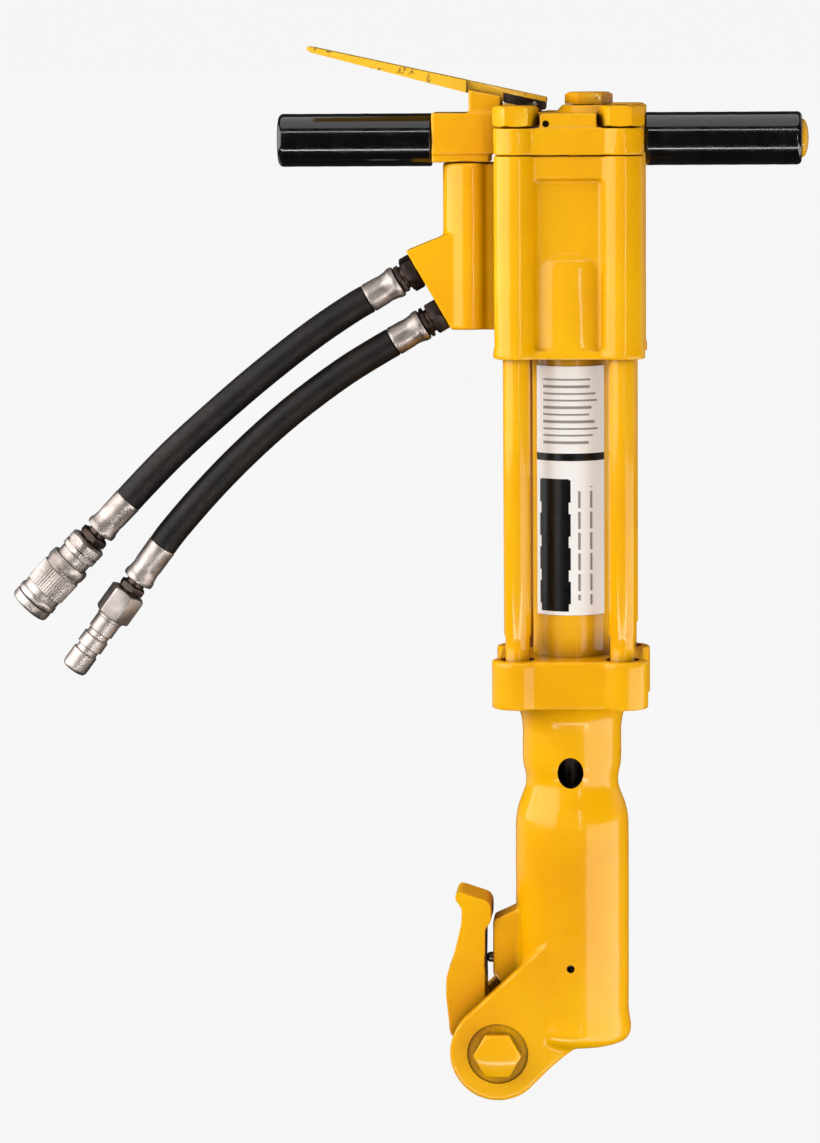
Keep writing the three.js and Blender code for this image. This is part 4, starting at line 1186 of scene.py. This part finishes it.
def make_male_coupler():
    start = 30.9
    tip = 107.5
    make_stem("lower", start, 17, "male_coupler_stem")
    nut = crowned_hexagon(23, start + 9.5, start + 31, 1.8, 0.15, both=True)
    bevelled(nut, 0.4, 2)
    nose = to_object("nose", revolve([
        *lifted(
            start, (0, 30), (9.6, 30), (9.6, 33), (9.2, 33.4), (9.2, 43.6), (8, 44.6),
            (8, 48), (9.4, 48.8), (9.4, 57), (8, 57.8), (8, 61.2), (9.2, 62),
        ),
        *lifted(tip, (9.2, -3), (9, -1.6), (8.2, -0.3), (7.6, 0), (0, 0)),
    ], FINE))
    boolean(nut, [nose], "UNION")
    cut(nut, [
        post(6.3, tip - 24, tip + 2, sides=SMALL),
        *stem_bores(start, tip),
    ])
    coupler_piece(nut, "lower", "male_coupler_nipple", "plated", "male_coupler_body")
    poppet = to_object("poppet", revolve(lifted(
        tip, (0, -16), (3.4, -16), (6, -12), (6, -1.4), (5.4, -0.8), (0, -0.8),
    )))
    coupler_piece(poppet, "lower", "male_coupler_valve", "black", "male_coupler_poppet")


# ---------------- hidden pieces that stay as the frame has them

KEPT = {
    "machined": [
        "reversing_valve", "reversing_valve_body", "accumulator_base", "accumulator_chamber",
        "throttle_spool", "throttle_spring",
    ],
    "bronze": ["piston_bushing", "charging_valve", "throttle_gland"],
    # Painted shade: the piston is machined steel but takes the dark black steel so that it reads dark through
    # the vent.
    "black": ["piston", "throttle_bore_plug"],
    "hose_rubber": ["accumulator_diaphragm"],
}


def finish_kept_nodes():
    for key, names in KEPT.items():
        for name in names:
            node = frame["nodes"][name]
            node.data.materials.clear()
            node.data.materials.append(MATERIALS[key])


# ---------------- stage and light

FLOOR_Z = -0.30
WHITE = (1, 1, 1, 1)
BACKDROP = 0.92               # brightness that the camera sees behind the tool
FILL = 0.13                   # brightness that lights the tool from all round
SHEEN = 0.03                  # brightness that reflects in the tool from all round


def make_stage():
    mesh = bmesh.new()
    bmesh.ops.create_grid(mesh, x_segments=8, y_segments=8, size=60)
    mesh.transform(Matrix.Translation((0, 0, FLOOR_Z)))
    floor = to_object("floor", mesh)
    floor.visible_glossy = False
    floor.visible_diffuse = False
    floor.visible_shadow = False
    floor.data.materials.append(floor_paint())


def panel_light(name, azimuth, distance, width, low, high, radiance, tilt_to=None):
    """An upright soft box. Azimuth 0 is in front of the tool, and 90 on its right."""
    data = bpy.data.lights.new(name, "AREA")
    data.shape = "RECTANGLE"
    data.size = width
    data.size_y = high - low
    data.energy = radiance * math.pi * width * (high - low)
    light = linked(name, data)
    angle = math.radians(azimuth)
    light.location = (distance * math.sin(angle), -distance * math.cos(angle), (low + high) / 2)
    target = Vector((0, 0, (low + high) / 2 if tilt_to is None else tilt_to))
    light.rotation_euler = (target - light.location).to_track_quat("-Z", "Y").to_euler()
    light.visible_camera = False
    return light


def make_world():
    world = bpy.data.worlds.new("studio")
    world.use_nodes = True
    tree = world.node_tree
    ray = tree.nodes.new("ShaderNodeLightPath")
    level = tree.nodes["Background"].outputs["Background"]
    tree.nodes["Background"].inputs["Color"].default_value = WHITE
    tree.nodes["Background"].inputs["Strength"].default_value = FILL
    for kind, strength in (("Is Glossy Ray", SHEEN), ("Is Camera Ray", BACKDROP)):
        seen = tree.nodes.new("ShaderNodeBackground")
        seen.inputs["Strength"].default_value = strength
        seen.inputs["Color"].default_value = WHITE
        choose = tree.nodes.new("ShaderNodeMixShader")
        tree.links.new(ray.outputs[kind], choose.inputs["Fac"])
        tree.links.new(level, choose.inputs[1])
        tree.links.new(seen.outputs["Background"], choose.inputs[2])
        level = choose.outputs["Shader"]
    tree.links.new(level, tree.nodes["World Output"].inputs["Surface"])
    bpy.context.scene.world = world


def make_light():
    make_world()
    overhead = bpy.data.lights.new("overhead", "SUN")
    overhead.energy = 1.2
    overhead.angle = math.radians(70)
    linked("overhead", overhead)
    panel_light("right_low_softbox", 70, 1.3, 2.2, -0.9, 0.13, 3.3)
    panel_light("left_high_softbox", -70, 1.3, 2.2, 0.12, 1.5, 3.3)
    panel_light("right_high_rim", 128, 1.4, 1.2, 0.2, 1.4, 0.4)
    panel_light("left_low_rim", -128, 1.4, 1.2, -0.8, 0.1, 0.4)
    panel_light("front_strip", 19, 2.2, 0.07, 0.1, 1.3, 16)
    front = panel_light("front_fill", -8, 4.5, 2.6, -0.2, 2.8, 1.7)
    front.visible_glossy = False
    bars = (("bar_strip_above", 0.96, 1.37, 1.40, 16), ("bar_strip_below", 1.3, -0.60, -0.50, 14))
    for name, distance, low, high, radiance in bars:
        bar = panel_light(name, 0, distance, 2.4, low, high, radiance, BAR_Z * MM)
        bar.visible_diffuse = False
    bpy.context.scene.view_settings.view_transform = "Standard"


# ---------------- assembly

make_camera()
hoses = {level: make_hose(level) for level in HOSE_ROUTES}

make_foot()
make_tool_bushing()
make_latch()
make_latch_bolt()
make_latch_nut()
make_detent()
make_side_rods()
make_cap_nuts()
make_cylinder()
make_label()
make_housing()
make_handle_casting()
make_bars()
make_grips()
make_charging_plug()
make_trigger()
make_trigger_pin()
make_adapters()
make_ferrules()
make_female_coupler()
make_male_coupler()
finish_kept_nodes()

for level, (hose, start, length) in hoses.items():
    hose.data.materials.append(MATERIALS["hose_rubber"])
    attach(hose, "breaker")
    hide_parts(f"hose_{level}")

make_stage()
make_light()
